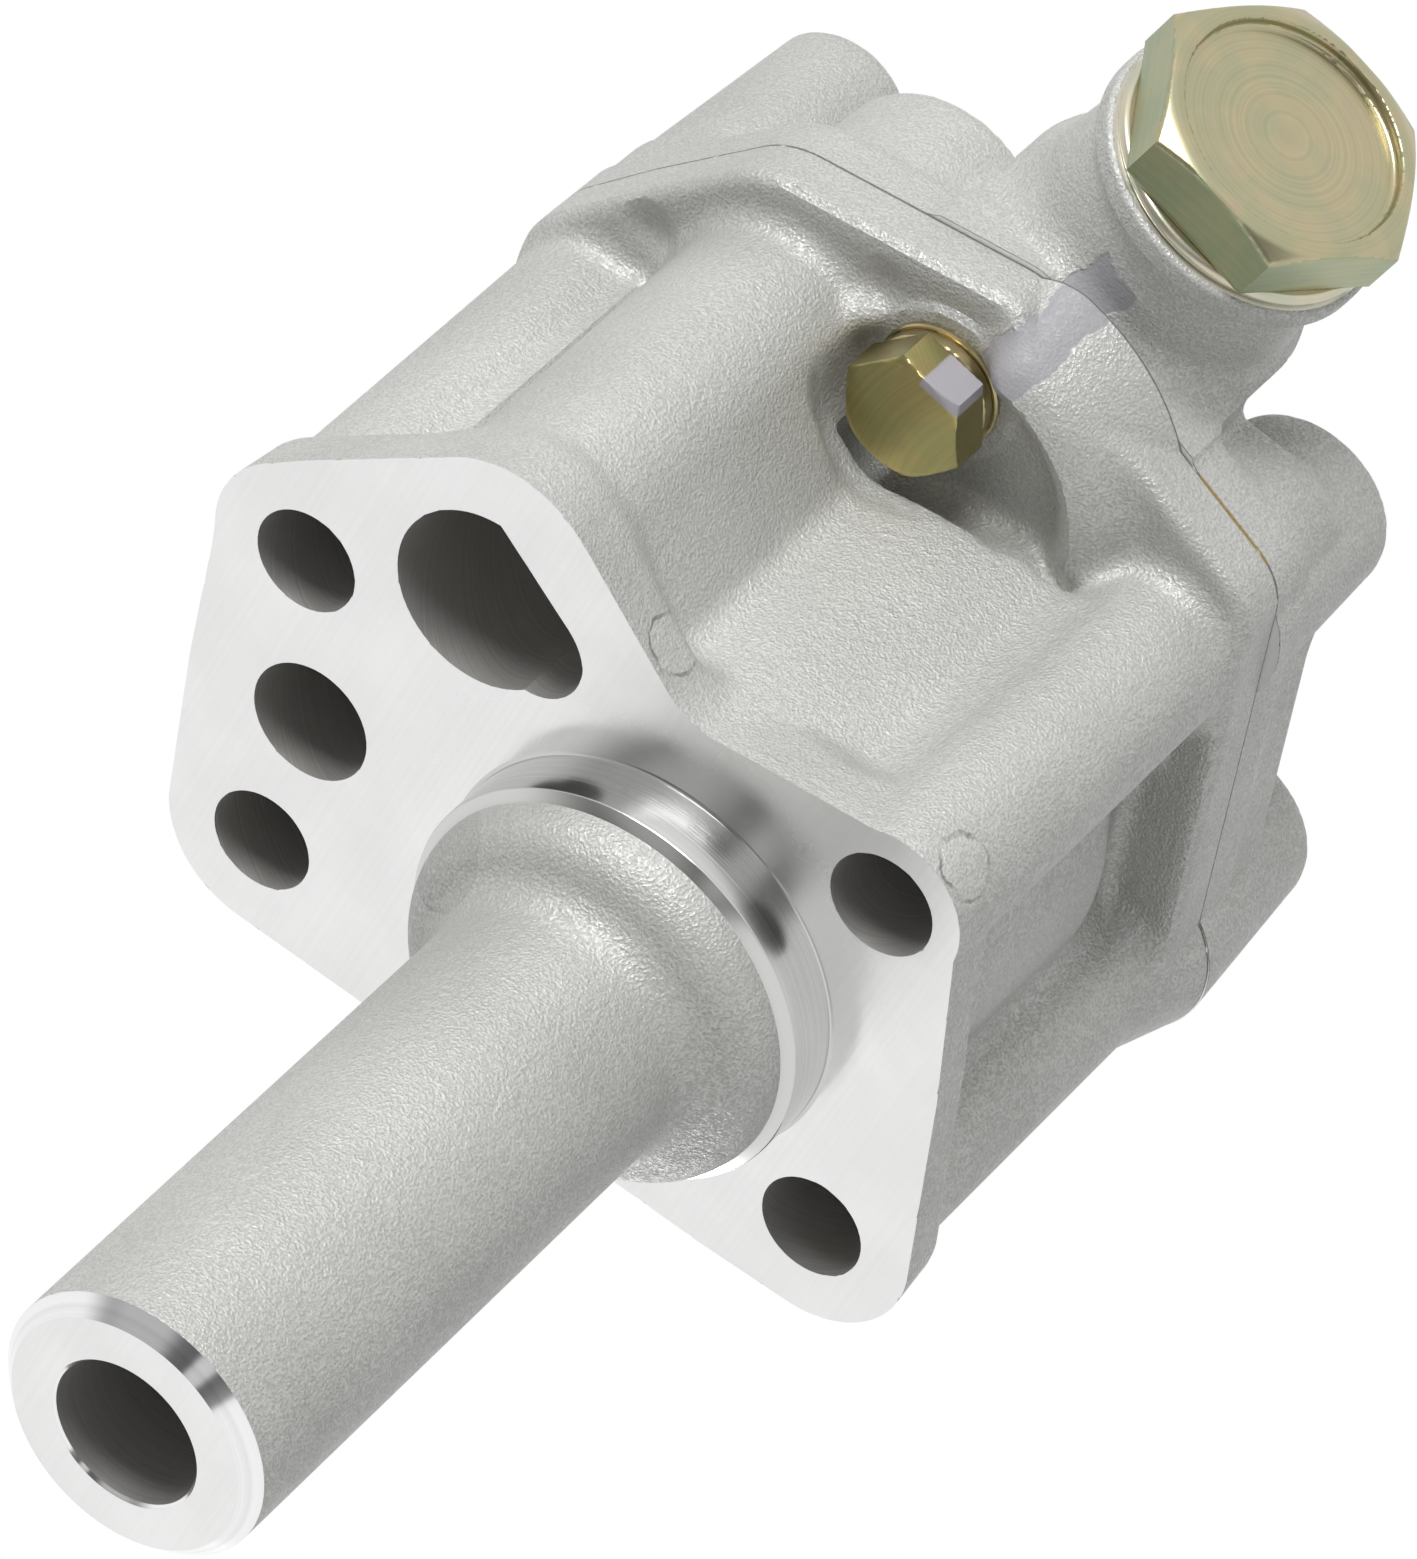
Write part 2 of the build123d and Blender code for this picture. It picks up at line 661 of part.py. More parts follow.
# Outer rotor: a ring whose five inner lobes are round, with a full cavity between them
with BuildPart() as outer_rotor:
    with BuildSketch(Plane(origin=(*rotor_centre, rotor_bottom_z))):
        Circle(chamber_radius - outer_rotor_clearance)
        Circle(cavity_radius, mode=Mode.SUBTRACT)
        with PolarLocations(lobe_circle_radius, inner_lobes + 1, start_angle=90 / (inner_lobes + 1)):
            Circle(lobe_radius)
        Circle(chamber_radius - outer_rotor_clearance, mode=Mode.INTERSECT)
    extrude(amount=rotor_thickness)
outer_rotor.part.label = "outer_rotor"
export_step(outer_rotor.part, "parts/outer_rotor.step")

# Pressed bushes: one above the rotors, one in the cover
for name, start_z, length in [
    ("body_shaft_bush", chamber_roof_z, body_bush_length),
    ("cover_shaft_bush", parting_z, -cover_bush_length),
]:
    with BuildPart() as bush:
        with BuildSketch(level(start_z)):
            Circle(bush_radius)
            Circle(shaft_bore_radius, mode=Mode.SUBTRACT)
        extrude(amount=length)
    bush.part.label = name
    export_step(bush.part, f"parts/{name}.step")

# Relief valve piston: a cup whose closed end faces the seat
with BuildPart() as relief_valve_piston:
    with BuildSketch(valve_plane(valve_seat)):
        Circle(valve_bore_radius - piston_clearance)
    extrude(amount=piston_length)
    with BuildSketch(valve_plane(valve_seat + piston_crown)):
        Circle(valve_bore_radius - piston_clearance - piston_wall)
    extrude(amount=piston_length, mode=Mode.SUBTRACT)
relief_valve_piston.part.label = "relief_valve_piston"
export_step(relief_valve_piston.part, "parts/relief_valve_piston.step")

# Spring, from inside the piston's crown to the shim in the plug
with BuildPart() as relief_valve_spring:
    with BuildLine() as coil:
        Helix(
            pitch=spring_length / spring_turns,
            height=spring_length,
            radius=spring_radius,
            center=valve_point(spring_start + spring_wire / 2),
            direction=valve_dir,
        )
    with BuildSketch(Plane(origin=coil.line @ 0, z_dir=coil.line % 0)):
        Circle(spring_wire / 2)
    sweep()
relief_valve_spring.part.label = "relief_valve_spring"
export_step(relief_valve_spring.part, "parts/relief_valve_spring.step")

# Shim at the bottom of the plug's bore
with BuildPart() as spring_shim:
    with BuildSketch(valve_plane(plug_bore_floor - shim_thickness)):
        Circle(plug_bore_radius - plug_stud_clearance)
    extrude(amount=shim_thickness)
spring_shim.part.label = "spring_shim"
export_step(spring_shim.part, "parts/spring_shim.step")

# Sealing washer between the boss and the plug's head
with BuildPart() as plug_sealing_washer:
    with BuildSketch(valve_plane(valve_mouth)):
        Circle(plug_washer_radius)
        Circle(valve_thread_radius, mode=Mode.SUBTRACT)
    extrude(amount=plug_washer_thickness)
plug_sealing_washer.part.label = "plug_sealing_washer"
export_step(plug_sealing_washer.part, "parts/plug_sealing_washer.step")

# Hexagon plug: chamfered head with a turned dish, and a hollow stud that holds the spring
with BuildPart() as relief_valve_plug:
    with BuildSketch(valve_plane(plug_seat)):
        RegularPolygon(plug_across_flats / 2, 6, major_radius=False, rotation=0)
    extrude(amount=plug_head_height)
    with BuildSketch(Plane(origin=valve_point(plug_seat), x_dir=valve_dir, z_dir=(0, 0, 1))):
        with BuildLine():
            Polyline(
                (0, 0),
                (0, plug_corner_radius),
                (plug_head_height - plug_chamfer, plug_corner_radius),
                (plug_head_height, plug_corner_radius - plug_chamfer / plug_chamfer_slope),
                (plug_head_height, 0),
                close=True,
            )
        make_face()
    revolve(axis=Axis(valve_point(0), valve_dir), mode=Mode.INTERSECT)
    with BuildSketch(valve_plane(plug_seat)):
        Circle(valve_thread_radius - plug_stud_clearance)
    extrude(amount=-plug_stud_length)
    with BuildSketch(valve_plane(plug_seat - plug_stud_length)):
        Circle(plug_bore_radius)
    extrude(amount=plug_bore_depth, mode=Mode.SUBTRACT)
    with BuildSketch(valve_plane(plug_seat + plug_head_height)):
        Circle(plug_dish_radius)
    extrude(amount=-plug_dish_depth, mode=Mode.SUBTRACT)
relief_valve_plug.part.label = "relief_valve_plug"
export_step(relief_valve_plug.part, "parts/relief_valve_plug.step")

# Cover bolt: chamfered hexagon head and shank
with BuildPart() as cover_bolt:
    with BuildSketch(level(bolt_head_z - cover_bolt_head_height)):
        with Locations((cover_bolt_x, cover_bolt_y)):
            RegularPolygon(cover_bolt_across_flats / 2, 6, major_radius=False, rotation=cover_bolt_turn)
    extrude(amount=cover_bolt_head_height)
    with BuildSketch(Plane(origin=(cover_bolt_x, cover_bolt_y, bolt_head_z), x_dir=(1, 0, 0), z_dir=(0, -1, 0))):
        with BuildLine():
            Polyline(
                (0, 0),
                (cover_bolt_across_flats / 2, 0),
                (cover_bolt_across_flats / 2 + cover_bolt_chamfer, -cover_bolt_chamfer * plug_chamfer_slope),
                (cover_bolt_across_flats / 2 + cover_bolt_chamfer, -2 * cover_bolt_head_height),
                (0, -2 * cover_bolt_head_height),
                close=True,
            )
        make_face()
    revolve(axis=Axis((cover_bolt_x, cover_bolt_y, 0), (0, 0, 1)), mode=Mode.INTERSECT)
    with BuildSketch(level(bolt_head_z - cover_bolt_head_height)):
        with Locations((cover_bolt_x, cover_bolt_y)):
            Circle(cover_bolt_radius - bolt_thread_clearance)
    extrude(amount=-cover_bolt_length)
cover_bolt.part.label = "cover_bolt"
export_step(cover_bolt.part, "parts/cover_bolt.step")

# Split spring washer under the head
with BuildPart() as bolt_spring_washer:
    with BuildSketch(level(bolt_seat_z + plain_washer_thickness)):
        with Locations((cover_bolt_x, cover_bolt_y)):
            Circle(spring_washer_radius)
            Circle(cover_bolt_radius + bolt_thread_clearance, mode=Mode.SUBTRACT)
        with Locations(Location((cover_bolt_x, cover_bolt_y, 0), spring_washer_gap_angle)):
            with Locations((spring_washer_radius, 0)):
                Rectangle(2 * cover_bolt_radius, spring_washer_gap, mode=Mode.SUBTRACT)
    extrude(amount=spring_washer_thickness)
bolt_spring_washer.part.label = "bolt_spring_washer"
export_step(bolt_spring_washer.part, "parts/bolt_spring_washer.step")

# Plain washer on the spot face
with BuildPart() as bolt_plain_washer:
    with BuildSketch(level(bolt_seat_z)):
        with Locations((cover_bolt_x, cover_bolt_y)):
            Circle(plain_washer_radius)
            Circle(cover_bolt_radius + bolt_thread_clearance, mode=Mode.SUBTRACT)
    extrude(amount=plain_washer_thickness)
bolt_plain_washer.part.label = "bolt_plain_washer"
export_step(bolt_plain_washer.part, "parts/bolt_plain_washer.step")

# Two dowel pins that line the cover up with the body
with BuildPart() as cover_dowel_pins:
    with BuildSketch(level(parting_z - dowel_length / 2)):
        with Locations(dowel_right, dowel_left):
            Circle(dowel_radius)
    extrude(amount=dowel_length)
    chamfer(cover_dowel_pins.edges().filter_by(GeomType.CIRCLE), dowel_edge)
cover_dowel_pins.part.label = "cover_dowel_pins"
export_step(cover_dowel_pins.part, "parts/cover_dowel_pins.step")
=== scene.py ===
import math
import bpy
import numpy as np
from mathutils import Matrix, Vector


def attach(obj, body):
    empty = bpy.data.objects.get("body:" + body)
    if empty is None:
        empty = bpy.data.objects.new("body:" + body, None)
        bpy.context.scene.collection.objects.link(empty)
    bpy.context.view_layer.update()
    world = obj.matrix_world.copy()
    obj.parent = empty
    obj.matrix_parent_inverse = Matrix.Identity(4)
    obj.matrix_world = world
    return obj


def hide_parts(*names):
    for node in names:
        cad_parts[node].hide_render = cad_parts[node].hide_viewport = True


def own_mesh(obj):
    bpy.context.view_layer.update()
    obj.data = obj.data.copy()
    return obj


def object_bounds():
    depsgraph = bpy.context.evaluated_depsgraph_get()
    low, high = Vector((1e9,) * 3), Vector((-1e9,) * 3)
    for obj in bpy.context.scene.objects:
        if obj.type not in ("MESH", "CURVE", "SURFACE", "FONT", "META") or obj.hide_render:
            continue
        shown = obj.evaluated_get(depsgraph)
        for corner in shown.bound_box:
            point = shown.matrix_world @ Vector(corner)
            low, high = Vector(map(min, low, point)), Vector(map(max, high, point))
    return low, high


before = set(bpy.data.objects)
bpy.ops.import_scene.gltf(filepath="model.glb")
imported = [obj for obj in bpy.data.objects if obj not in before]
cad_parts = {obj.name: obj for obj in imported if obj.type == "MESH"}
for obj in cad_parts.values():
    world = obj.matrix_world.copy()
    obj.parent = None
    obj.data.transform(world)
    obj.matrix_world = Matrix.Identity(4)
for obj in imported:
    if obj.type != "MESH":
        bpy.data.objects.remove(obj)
cad_box = [list(corner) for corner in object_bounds()]
scene = bpy.context.scene
MM = 0.001

# Camera
# The pump is photographed from its snout side, a little above, with the camera rolled so that the
# snout points down to the left. The three directions below are the camera's right, down and forward.
camera_right = Vector((0.14059, -0.82218, -0.5516))
camera_down = Vector((-0.73102, -0.46194, 0.50222))
camera_forward = Vector((-0.66772, 0.33262, -0.66597))
camera_place = Vector((524.22, -245.71, 498.04)) * MM
photo_width, photo_height = 1417, 1559
focal_pixels = 10010.0
centre_pixel = (650.7, 695.0)
camera_data = bpy.data.cameras.new("camera")
camera = bpy.data.objects.new("camera", camera_data)
scene.collection.objects.link(camera)
camera_data.sensor_width = 36.0
camera_data.lens = focal_pixels * camera_data.sensor_width / photo_height
camera_data.shift_x = (photo_width / 2 - centre_pixel[0]) / photo_height
camera_data.shift_y = (centre_pixel[1] - photo_height / 2) / photo_height
camera_data.clip_start, camera_data.clip_end = 0.01, 20.0
turn = Matrix((camera_right, -camera_down, -camera_forward)).transposed()
camera.matrix_world = Matrix.Translation(camera_place) @ turn.to_4x4()
scene.camera = camera


# Floor and light
# A pale floor under the pump, shown as plain white, with a large soft lamp from the side that the
# photograph is lit from and a weaker one opposite, as in a studio light tent.
def add_node(tree, kind, inputs=None, **settings):
    """Adds a node; an input given as a socket is linked, any other is set."""
    node = tree.nodes.new("ShaderNode" + kind)
    for name, value in settings.items():
        setattr(node, name, value)
    for key, value in (inputs or {}).items():
        if isinstance(value, bpy.types.NodeSocket):
            tree.links.new(value, node.inputs[key])
        else:
            node.inputs[key].default_value = value
    return node


def math_node(tree, operation, a, b=0.0, c=0.0):
    return add_node(tree, "Math", {0: a, 1: b, 2: c}, operation=operation).outputs[0]


def remap(tree, value, low, high, to_low=0.0, to_high=1.0):
    """Smooth change of a value between two limits."""
    return add_node(tree, "MapRange", {"Value": value, "From Min": low, "From Max": high, "To Min": to_low,
                                       "To Max": to_high}, interpolation_type="SMOOTHSTEP").outputs[0]


def blend(tree, mask, a, b, mode="MIX"):
    """Mixes two colours by a mask."""
    a, b = (value if isinstance(value, bpy.types.NodeSocket) else (*value, 1) for value in (a, b))
    return add_node(tree, "Mix", {0: mask, 6: a, 7: b}, data_type="RGBA", blend_type=mode).outputs[2]


def white_around(tree, shader, target, colour=(1, 1, 1, 1)):
    """Shows the given plain colour to the camera and in mirrors, and the shader to all other light."""
    rays = add_node(tree, "LightPath").outputs
    mask = rays["Is Camera Ray"]
    for ray in ("Is Glossy Ray", "Is Transmission Ray"):
        mask = math_node(tree, "MAXIMUM", mask, rays[ray])
    glow = add_node(tree, "Emission", {"Color": colour})
    mix = add_node(tree, "MixShader", {0: mask, 1: shader, 2: glow.outputs[0]})
    tree.links.new(mix.outputs[0], target)


def make_floor(height, reach):
    mesh = bpy.data.meshes.new("floor")
    mesh.from_pydata([(-reach, -reach, height), (reach, -reach, height), (reach, reach, height),
                      (-reach, reach, height)], [], [(0, 1, 2, 3)])
    floor = bpy.data.objects.new("floor", mesh)
    scene.collection.objects.link(floor)
    material = bpy.data.materials.new("floor")
    material.use_nodes = True
    tree = material.node_tree
    tree.nodes.clear()
    diffuse = add_node(tree, "BsdfDiffuse", {"Color": (0.8, 0.8, 0.8, 1)})
    white_around(tree, diffuse.outputs[0], add_node(tree, "OutputMaterial").inputs[0])
    mesh.materials.append(material)


make_floor(cad_box[0][2] - 0.0002, 3.0)

world = bpy.data.worlds.new("studio")
world.use_nodes = True
scene.world = world
tent = world.node_tree
tent.nodes.clear()
sky = add_node(tent, "Background", {"Color": (1, 1, 1, 1), "Strength": 0.24})
# What metal mirrors is a white tent that is open, and darker, round the photographer, with bright
# panels there and beside it. The ramp gives the level by the bearing round Z, in degrees from +X.
heading = add_node(tent, "TexCoord").outputs["Generated"]
facing = add_node(tent, "VectorMath", {0: heading, 1: -camera_forward}, operation="DOT_PRODUCT")
opening = remap(tent, facing.outputs["Value"], 0.1, 0.6)
axes = add_node(tent, "SeparateXYZ", {0: heading}).outputs
bearing = math_node(tent, "ARCTAN2", axes[1], axes[0])
share = add_node(tent, "MapRange", {"Value": bearing, "From Min": -math.pi, "From Max": math.pi})
panels = add_node(tent, "ValToRGB", {0: share.outputs[0]})
panels.color_ramp.interpolation = "EASE"
for angle, level in [(-66, 1.0), (-61, 0.25), (-42, 0.12), (-37, 0.65), (-24, 0.65), (-20, 0.1),
                     (-6, 0.14), (14, 0.5), (45, 0.5), (66, 0.12), (105, 0.2), (140, 1.0)]:
    stop = panels.color_ramp.elements.new(0.5 + angle / 360)
    stop.color = (level, level, level, 1)
for place, end in ((0, 0.0), (-1, 1.0)):
    panels.color_ramp.elements[place].position = end
    panels.color_ramp.elements[place].color = (1, 1, 1, 1)
seen = blend(tent, opening, (1, 1, 1), panels.outputs[0])
white_around(tent, sky.outputs[0], add_node(tent, "OutputWorld").inputs[0], seen)
scene.view_settings.view_transform = "Standard"


def soft_lamp(name, direction, distance, size, power):
    """A square lamp that faces the pump's middle from the given direction."""
    data = bpy.data.lights.new(name, "AREA")
    data.shape = "SQUARE"
    data.size = size
    data.energy = power
    lamp = bpy.data.objects.new(name, data)
    scene.collection.objects.link(lamp)
    direction = Vector(direction).normalized()
    lamp.location = direction * distance
    lamp.rotation_mode = "QUATERNION"
    lamp.rotation_quaternion = direction.to_track_quat("Z", "Y")


key_direction = -camera_down * 0.75 - camera_forward * 0.65 + camera_right * 0.05
soft_lamp("key_lamp", key_direction, 1.0, 0.55, 11.0)
soft_lamp("back_lamp", (-1.0, 0.0, 0.05), 1.0, 0.16, 2.0)


# Metals of the castings
# Die-cast aluminium has a fine sparkling grain with faint clouds; milled and turned faces are
# bright, with the cutter's fine lines; holes are darker. Every place below is in metres.
def noise(tree, place, scale, detail=2.0):
    return add_node(tree, "TexNoise", {"Vector": place, "Scale": scale, "Detail": detail}).outputs[0]


def add_group(name, inputs, outputs):
    """New node group with value sockets and its input and output nodes."""
    group = bpy.data.node_groups.new(name, "ShaderNodeTree")
    for label, kind in inputs:
        group.interface.new_socket(label, in_out="INPUT", socket_type="NodeSocket" + kind)
    for label, kind in outputs:
        group.interface.new_socket(label, in_out="OUTPUT", socket_type="NodeSocket" + kind)
    return group, group.nodes.new("NodeGroupInput"), group.nodes.new("NodeGroupOutput")


def use_group(tree, group, inputs):
    return add_node(tree, "Group", inputs, node_tree=group).outputs


grain_group, given, result = add_group("cast_grain", [("Place", "Vector")],
                                       [("Tone", "Float"), ("Height", "Float")])
fine = noise(grain_group, given.outputs[0], 3900.0, 1.0)
coarse = noise(grain_group, given.outputs[0], 1300.0, 2.0)
clouds = noise(grain_group, given.outputs[0], 70.0, 3.0)
speck = remap(grain_group, fine, 0.3, 0.75, 0.92, 1.1)
tone = math_node(grain_group, "MULTIPLY", speck, remap(grain_group, clouds, 0.3, 0.7, 0.95, 1.04))
height = math_node(grain_group, "MULTIPLY_ADD", coarse, 0.8, fine)
grain_group.links.new(tone, result.inputs[0])
grain_group.links.new(height, result.inputs[1])

ring_group, given, result = add_group("ring_line", [("Place", "Vector"), ("Centre", "Vector"),
                                                    ("Radius", "Float"), ("Width", "Float")],
                                      [("Line", "Float"), ("Inside", "Float")])
reach = add_node(ring_group, "VectorMath", {0: given.outputs[0], 1: given.outputs[1]},
                 operation="DISTANCE").outputs["Value"]
off = math_node(ring_group, "SUBTRACT", reach, given.outputs[2])
share = math_node(ring_group, "DIVIDE", math_node(ring_group, "ABSOLUTE", off), given.outputs[3])
ring_group.links.new(remap(ring_group, share, 0.3, 1.0, 1.0, 0.0), result.inputs[0])
ring_group.links.new(remap(ring_group, off, -0.0001, 0.0001, 1.0, 0.0), result.inputs[1])

turning_group, given, result = add_group("turning_lines", [("Reach", "Float"), ("Pitch", "Float")],
                                         [("Height", "Float"), ("Tone", "Float")])
wobble = add_node(turning_group, "TexNoise", {"W": math_node(turning_group, "DIVIDE", *given.outputs[:2]),
                                              "Scale": 1.0, "Detail": 3.0},
                  noise_dimensions="1D").outputs[0]
turning_group.links.new(wobble, result.inputs[0])
turning_group.links.new(remap(turning_group, wobble, 0.3, 0.7, 0.94, 1.05), result.inputs[1])


def new_metal(name, rough, metallic):
    """Material with its Principled shader, and the object's own coordinates."""
    material = bpy.data.materials.new(name)
    material.use_nodes = True
    tree = material.node_tree
    shader = tree.nodes["Principled BSDF"]
    shader.inputs["Roughness"].default_value = rough
    shader.inputs["Metallic"].default_value = metallic
    place = add_node(tree, "TexCoord").outputs["Object"]
    return material, tree, shader, place


def bump(tree, shader, height, distance):
    relief = add_node(tree, "Bump", {"Strength": 1.0, "Distance": distance, "Height": height})
    tree.links.new(relief.outputs[0], shader.inputs["Normal"])


def scaled(tree, colour, factor):
    """A colour times a value."""
    return add_node(tree, "VectorMath", {0: colour, "Scale": factor}, operation="SCALE").outputs[0]


# The casting's skin also carries what the works left on it: a brush stroke of grey marking paint
# across the joint at the bolt, the joint's dark line with a trace of yellow, and ejector marks.
cast_share_metallic = 0.42
cast_metal, tree, shader, place = new_metal("cast_aluminium", 0.55, cast_share_metallic)
grain = use_group(tree, grain_group, {"Place": place})
spot = add_node(tree, "SeparateXYZ", {0: place}).outputs
stroke_along, stroke_across, stroke_paint = (0.835, -0.551), (0.551, 0.835), (0.41, 0.4, 0.43)
stroke_offset, stroke_middle, half_width, half_length = 0.01805, 0.0338, 0.0019, 0.0054
stroke_foot, joint_height = -0.0478, -0.044


def in_plane(tree, spot, direction, offset):
    """Distance along a direction in the XY plane."""
    east = math_node(tree, "MULTIPLY", spot[0], direction[0])
    return math_node(tree, "ADD", math_node(tree, "MULTIPLY_ADD", spot[1], direction[1], east), -offset)


ragged = remap(tree, noise(tree, place, 420.0, 4.0), 0.2, 0.8, -0.0006, 0.0006)
across = in_plane(tree, spot, stroke_across, stroke_offset)
along = in_plane(tree, spot, stroke_along, stroke_middle)
edge = math_node(tree, "ADD", math_node(tree, "ABSOLUTE", across), ragged)
paint = remap(tree, edge, half_width, half_width + 0.0003, 1.0, 0.0)
ends = math_node(tree, "ADD", math_node(tree, "ABSOLUTE", along), ragged)
paint = math_node(tree, "MULTIPLY", paint,
                  remap(tree, ends, half_length, half_length + 0.0004, 1.0, 0.0))
paint = math_node(tree, "MULTIPLY", paint, remap(tree, spot[2], stroke_foot, stroke_foot + 0.0004))
paint = math_node(tree, "MULTIPLY", paint, 0.85)
from_joint = math_node(tree, "ABSOLUTE", math_node(tree, "SUBTRACT", spot[2], joint_height))
joint_line = remap(tree, from_joint, 0.00006, 0.00015, 1.0, 0.0)
stain = use_group(tree, ring_group, {"Place": place, "Centre": (0.0283, -0.0212, joint_height),
                                     "Radius": 0.0042, "Width": 0.001})
stain_mask = math_node(tree, "MULTIPLY", stain["Inside"],
                       remap(tree, from_joint, 0.0001, 0.0003, 1.0, 0.0))
colour = scaled(tree, (0.58, 0.58, 0.56), grain["Tone"])
colour = blend(tree, paint, colour, stroke_paint)
# An ejector pin leaves a broken ring; its inside is a little paler, or darker on the shoulder.
marks = joint_line
torn = add_node(tree, "TexNoise", {"Vector": place, "Scale": 500.0, "Detail": 3.0}).outputs["Color"]
torn = add_node(tree, "VectorMath", {0: torn, 1: (0.5, 0.5, 0.5)}, operation="SUBTRACT").outputs[0]
torn = add_node(tree, "VectorMath", {0: scaled(tree, torn, 0.0014), 1: place}, operation="ADD").outputs[0]
for centre, radius, line, inside in (((0.0270, 0.0041, -0.003), 0.0026, 0.7, 0.35),
                                     ((0.0218, -0.0234, -0.003), 0.0026, 0.7, 0.3),
                                     ((0.0073, 0.0136, 0.0084), 0.0045, 0.25, -0.45),
                                     ((-0.0095, -0.0115, 0.0086), 0.0045, 0.25, -0.45)):
    mark = use_group(tree, ring_group, {"Place": torn, "Centre": centre, "Radius": radius,
                                        "Width": 0.00022})
    broken = remap(tree, noise(tree, place, 330.0), 0.4, 0.62, 0.15, 1.0)
    ring = math_node(tree, "MULTIPLY", math_node(tree, "MULTIPLY", mark["Line"], line), broken)
    marks = math_node(tree, "MAXIMUM", marks, ring)
    colour = scaled(tree, colour, math_node(tree, "MULTIPLY_ADD", mark["Inside"], 0.2 * inside, 1.0))
colour = blend(tree, math_node(tree, "MULTIPLY", marks, 0.8), colour, (0.12, 0.11, 0.1))
colour = blend(tree, math_node(tree, "MULTIPLY", stain_mask, 0.8), colour, (0.42, 0.3, 0.1))
tree.links.new(colour, shader.inputs["Base Color"])
tree.links.new(math_node(tree, "MULTIPLY_ADD", paint, -cast_share_metallic, cast_share_metallic),
               shader.inputs["Metallic"])
relief = math_node(tree, "MULTIPLY", grain["Height"], math_node(tree, "MULTIPLY_ADD", paint, -0.7, 1.0))
bump(tree, shader, math_node(tree, "MULTIPLY_ADD", marks, -0.6, relief), 0.00013)
tree.links.new(remap(tree, grain["Height"], 0.7, 1.2, 0.66, 0.42), shader.inputs["Roughness"])


def from_shaft(tree, spot):
    """Distance from the shaft's axis."""
    north = math_node(tree, "MULTIPLY", spot[1], spot[1])
    return math_node(tree, "POWER", math_node(tree, "MULTIPLY_ADD", spot[0], spot[0], north), 0.5)


# The flange's face is milled, and smoother where the spigot's foot was turned.
milled_metal, tree, shader, place = new_metal("milled_aluminium", 0.34, 0.9)
spot = add_node(tree, "SeparateXYZ", {0: place}).outputs
lines = use_group(tree, turning_group, {"Reach": in_plane(tree, spot, (0.3, 0.95), 0.0), "Pitch": 0.0005})
wear = remap(tree, noise(tree, place, 90.0, 5.0), 0.35, 0.7, 0.96, 1.02)
colour = scaled(tree, (0.88, 0.88, 0.875), math_node(tree, "MULTIPLY", wear,
                remap(tree, lines["Tone"], 0.9, 1.08, 0.985, 1.01)))
tree.links.new(colour, shader.inputs["Base Color"])
smoother = remap(tree, from_shaft(tree, spot), 0.018, 0.026, 0.12, 0.0)
rough = remap(tree, noise(tree, place, 160.0, 4.0), 0.3, 0.7, 0.28, 0.36)
tree.links.new(math_node(tree, "SUBTRACT", rough, smoother), shader.inputs["Roughness"])
bump(tree, shader, lines["Height"], 0.000003)


def turned(name, colour, rough, pitch, depth, metallic=1.0):
    """Metal turned about the shaft's axis: its lines follow the radius and the height."""
    material, tree, shader, place = new_metal(name, rough, metallic)
    spot = add_node(tree, "SeparateXYZ", {0: place}).outputs
    reach = math_node(tree, "MULTIPLY_ADD", spot[2], 1.3, from_shaft(tree, spot))
    lines = use_group(tree, turning_group, {"Reach": reach, "Pitch": pitch})
    tree.links.new(scaled(tree, colour, lines["Tone"]), shader.inputs["Base Color"])
    bump(tree, shader, lines["Height"], depth)
    return material


turned_metal = turned("turned_aluminium", (0.84, 0.84, 0.84), 0.12, 0.00022, 0.0000012)
# The spigot's wall is turned like the tip but given a darker colour: painted shade, standing in for the
# dark reflections on its polished wall.
spigot_metal_painted_shade = turned("spigot_aluminium_painted_shade", (0.6, 0.6, 0.59), 0.2, 0.0003, 0.000006)
bore_metal = turned("bored_aluminium", (0.56, 0.55, 0.53), 0.5, 0.0004, 0.00002, 0.6)


# Pump body
# One die casting of aluminium: a flange with two ports, four bolt columns round the rotor chamber
# and a rim for the cover. Its skin is left as cast, with soft fillets; the flange's face, the
# parting face and the holes are machined. The shape is a signed distance in millimetres: hulls
# of discs for the outlines, joined by round fillets, and cut by planes and cylinders.
upper_right, upper_left = (19.255, 34.0), (-10.195, 34.0)
lower_right, lower_left = (17.47, -19.1), (-16.93, -19.1)
bolt_holes, bolt_hole_radius = (upper_right, upper_left, lower_right, lower_left), 4.5
port_centre, gallery_centre, cover_bolt_place = (24.9, 18.4), (4.1, 31.4), (31.3, 2.9)
flange_back_z, parting_z, rim_top_z, chamber_roof_z = -5.2, -44.0, -39.0, -26.0
shaft_place, chamber_centre, chamber_radius, bush_radius = (0, 0), (0, 2.6), 19.0, 7.65
port_floor_z, gallery_floor_z, gallery_radius = -22.0, -24.0, 5.27
table_low, table_step = (-45.0, -45.0), 0.3
table_x = table_low[0] + table_step * np.arange(400)[:, None]
table_y = table_low[1] + table_step * np.arange(360)[None, :]


def compass(turns):
    """Unit directions of the given turns."""
    return np.stack([np.cos(turns), np.sin(turns)], axis=-1)


def hull(discs):
    """Distance to the hull of discs (centre, radius): over all directions, the largest of the
    point's reach in that direction less the farthest disc's reach. It is worked out on a table."""
    turns = np.linspace(0, 2 * math.pi, 144, endpoint=False)
    reach = np.max([compass(turns) @ np.array(centre) + radius for centre, radius in discs], axis=0)
    distance = np.full((table_x.size, table_y.size), -1e9)
    for (east, north), limit in zip(compass(turns), reach):
        np.maximum(distance, east * table_x + north * table_y - limit, out=distance)
    return distance


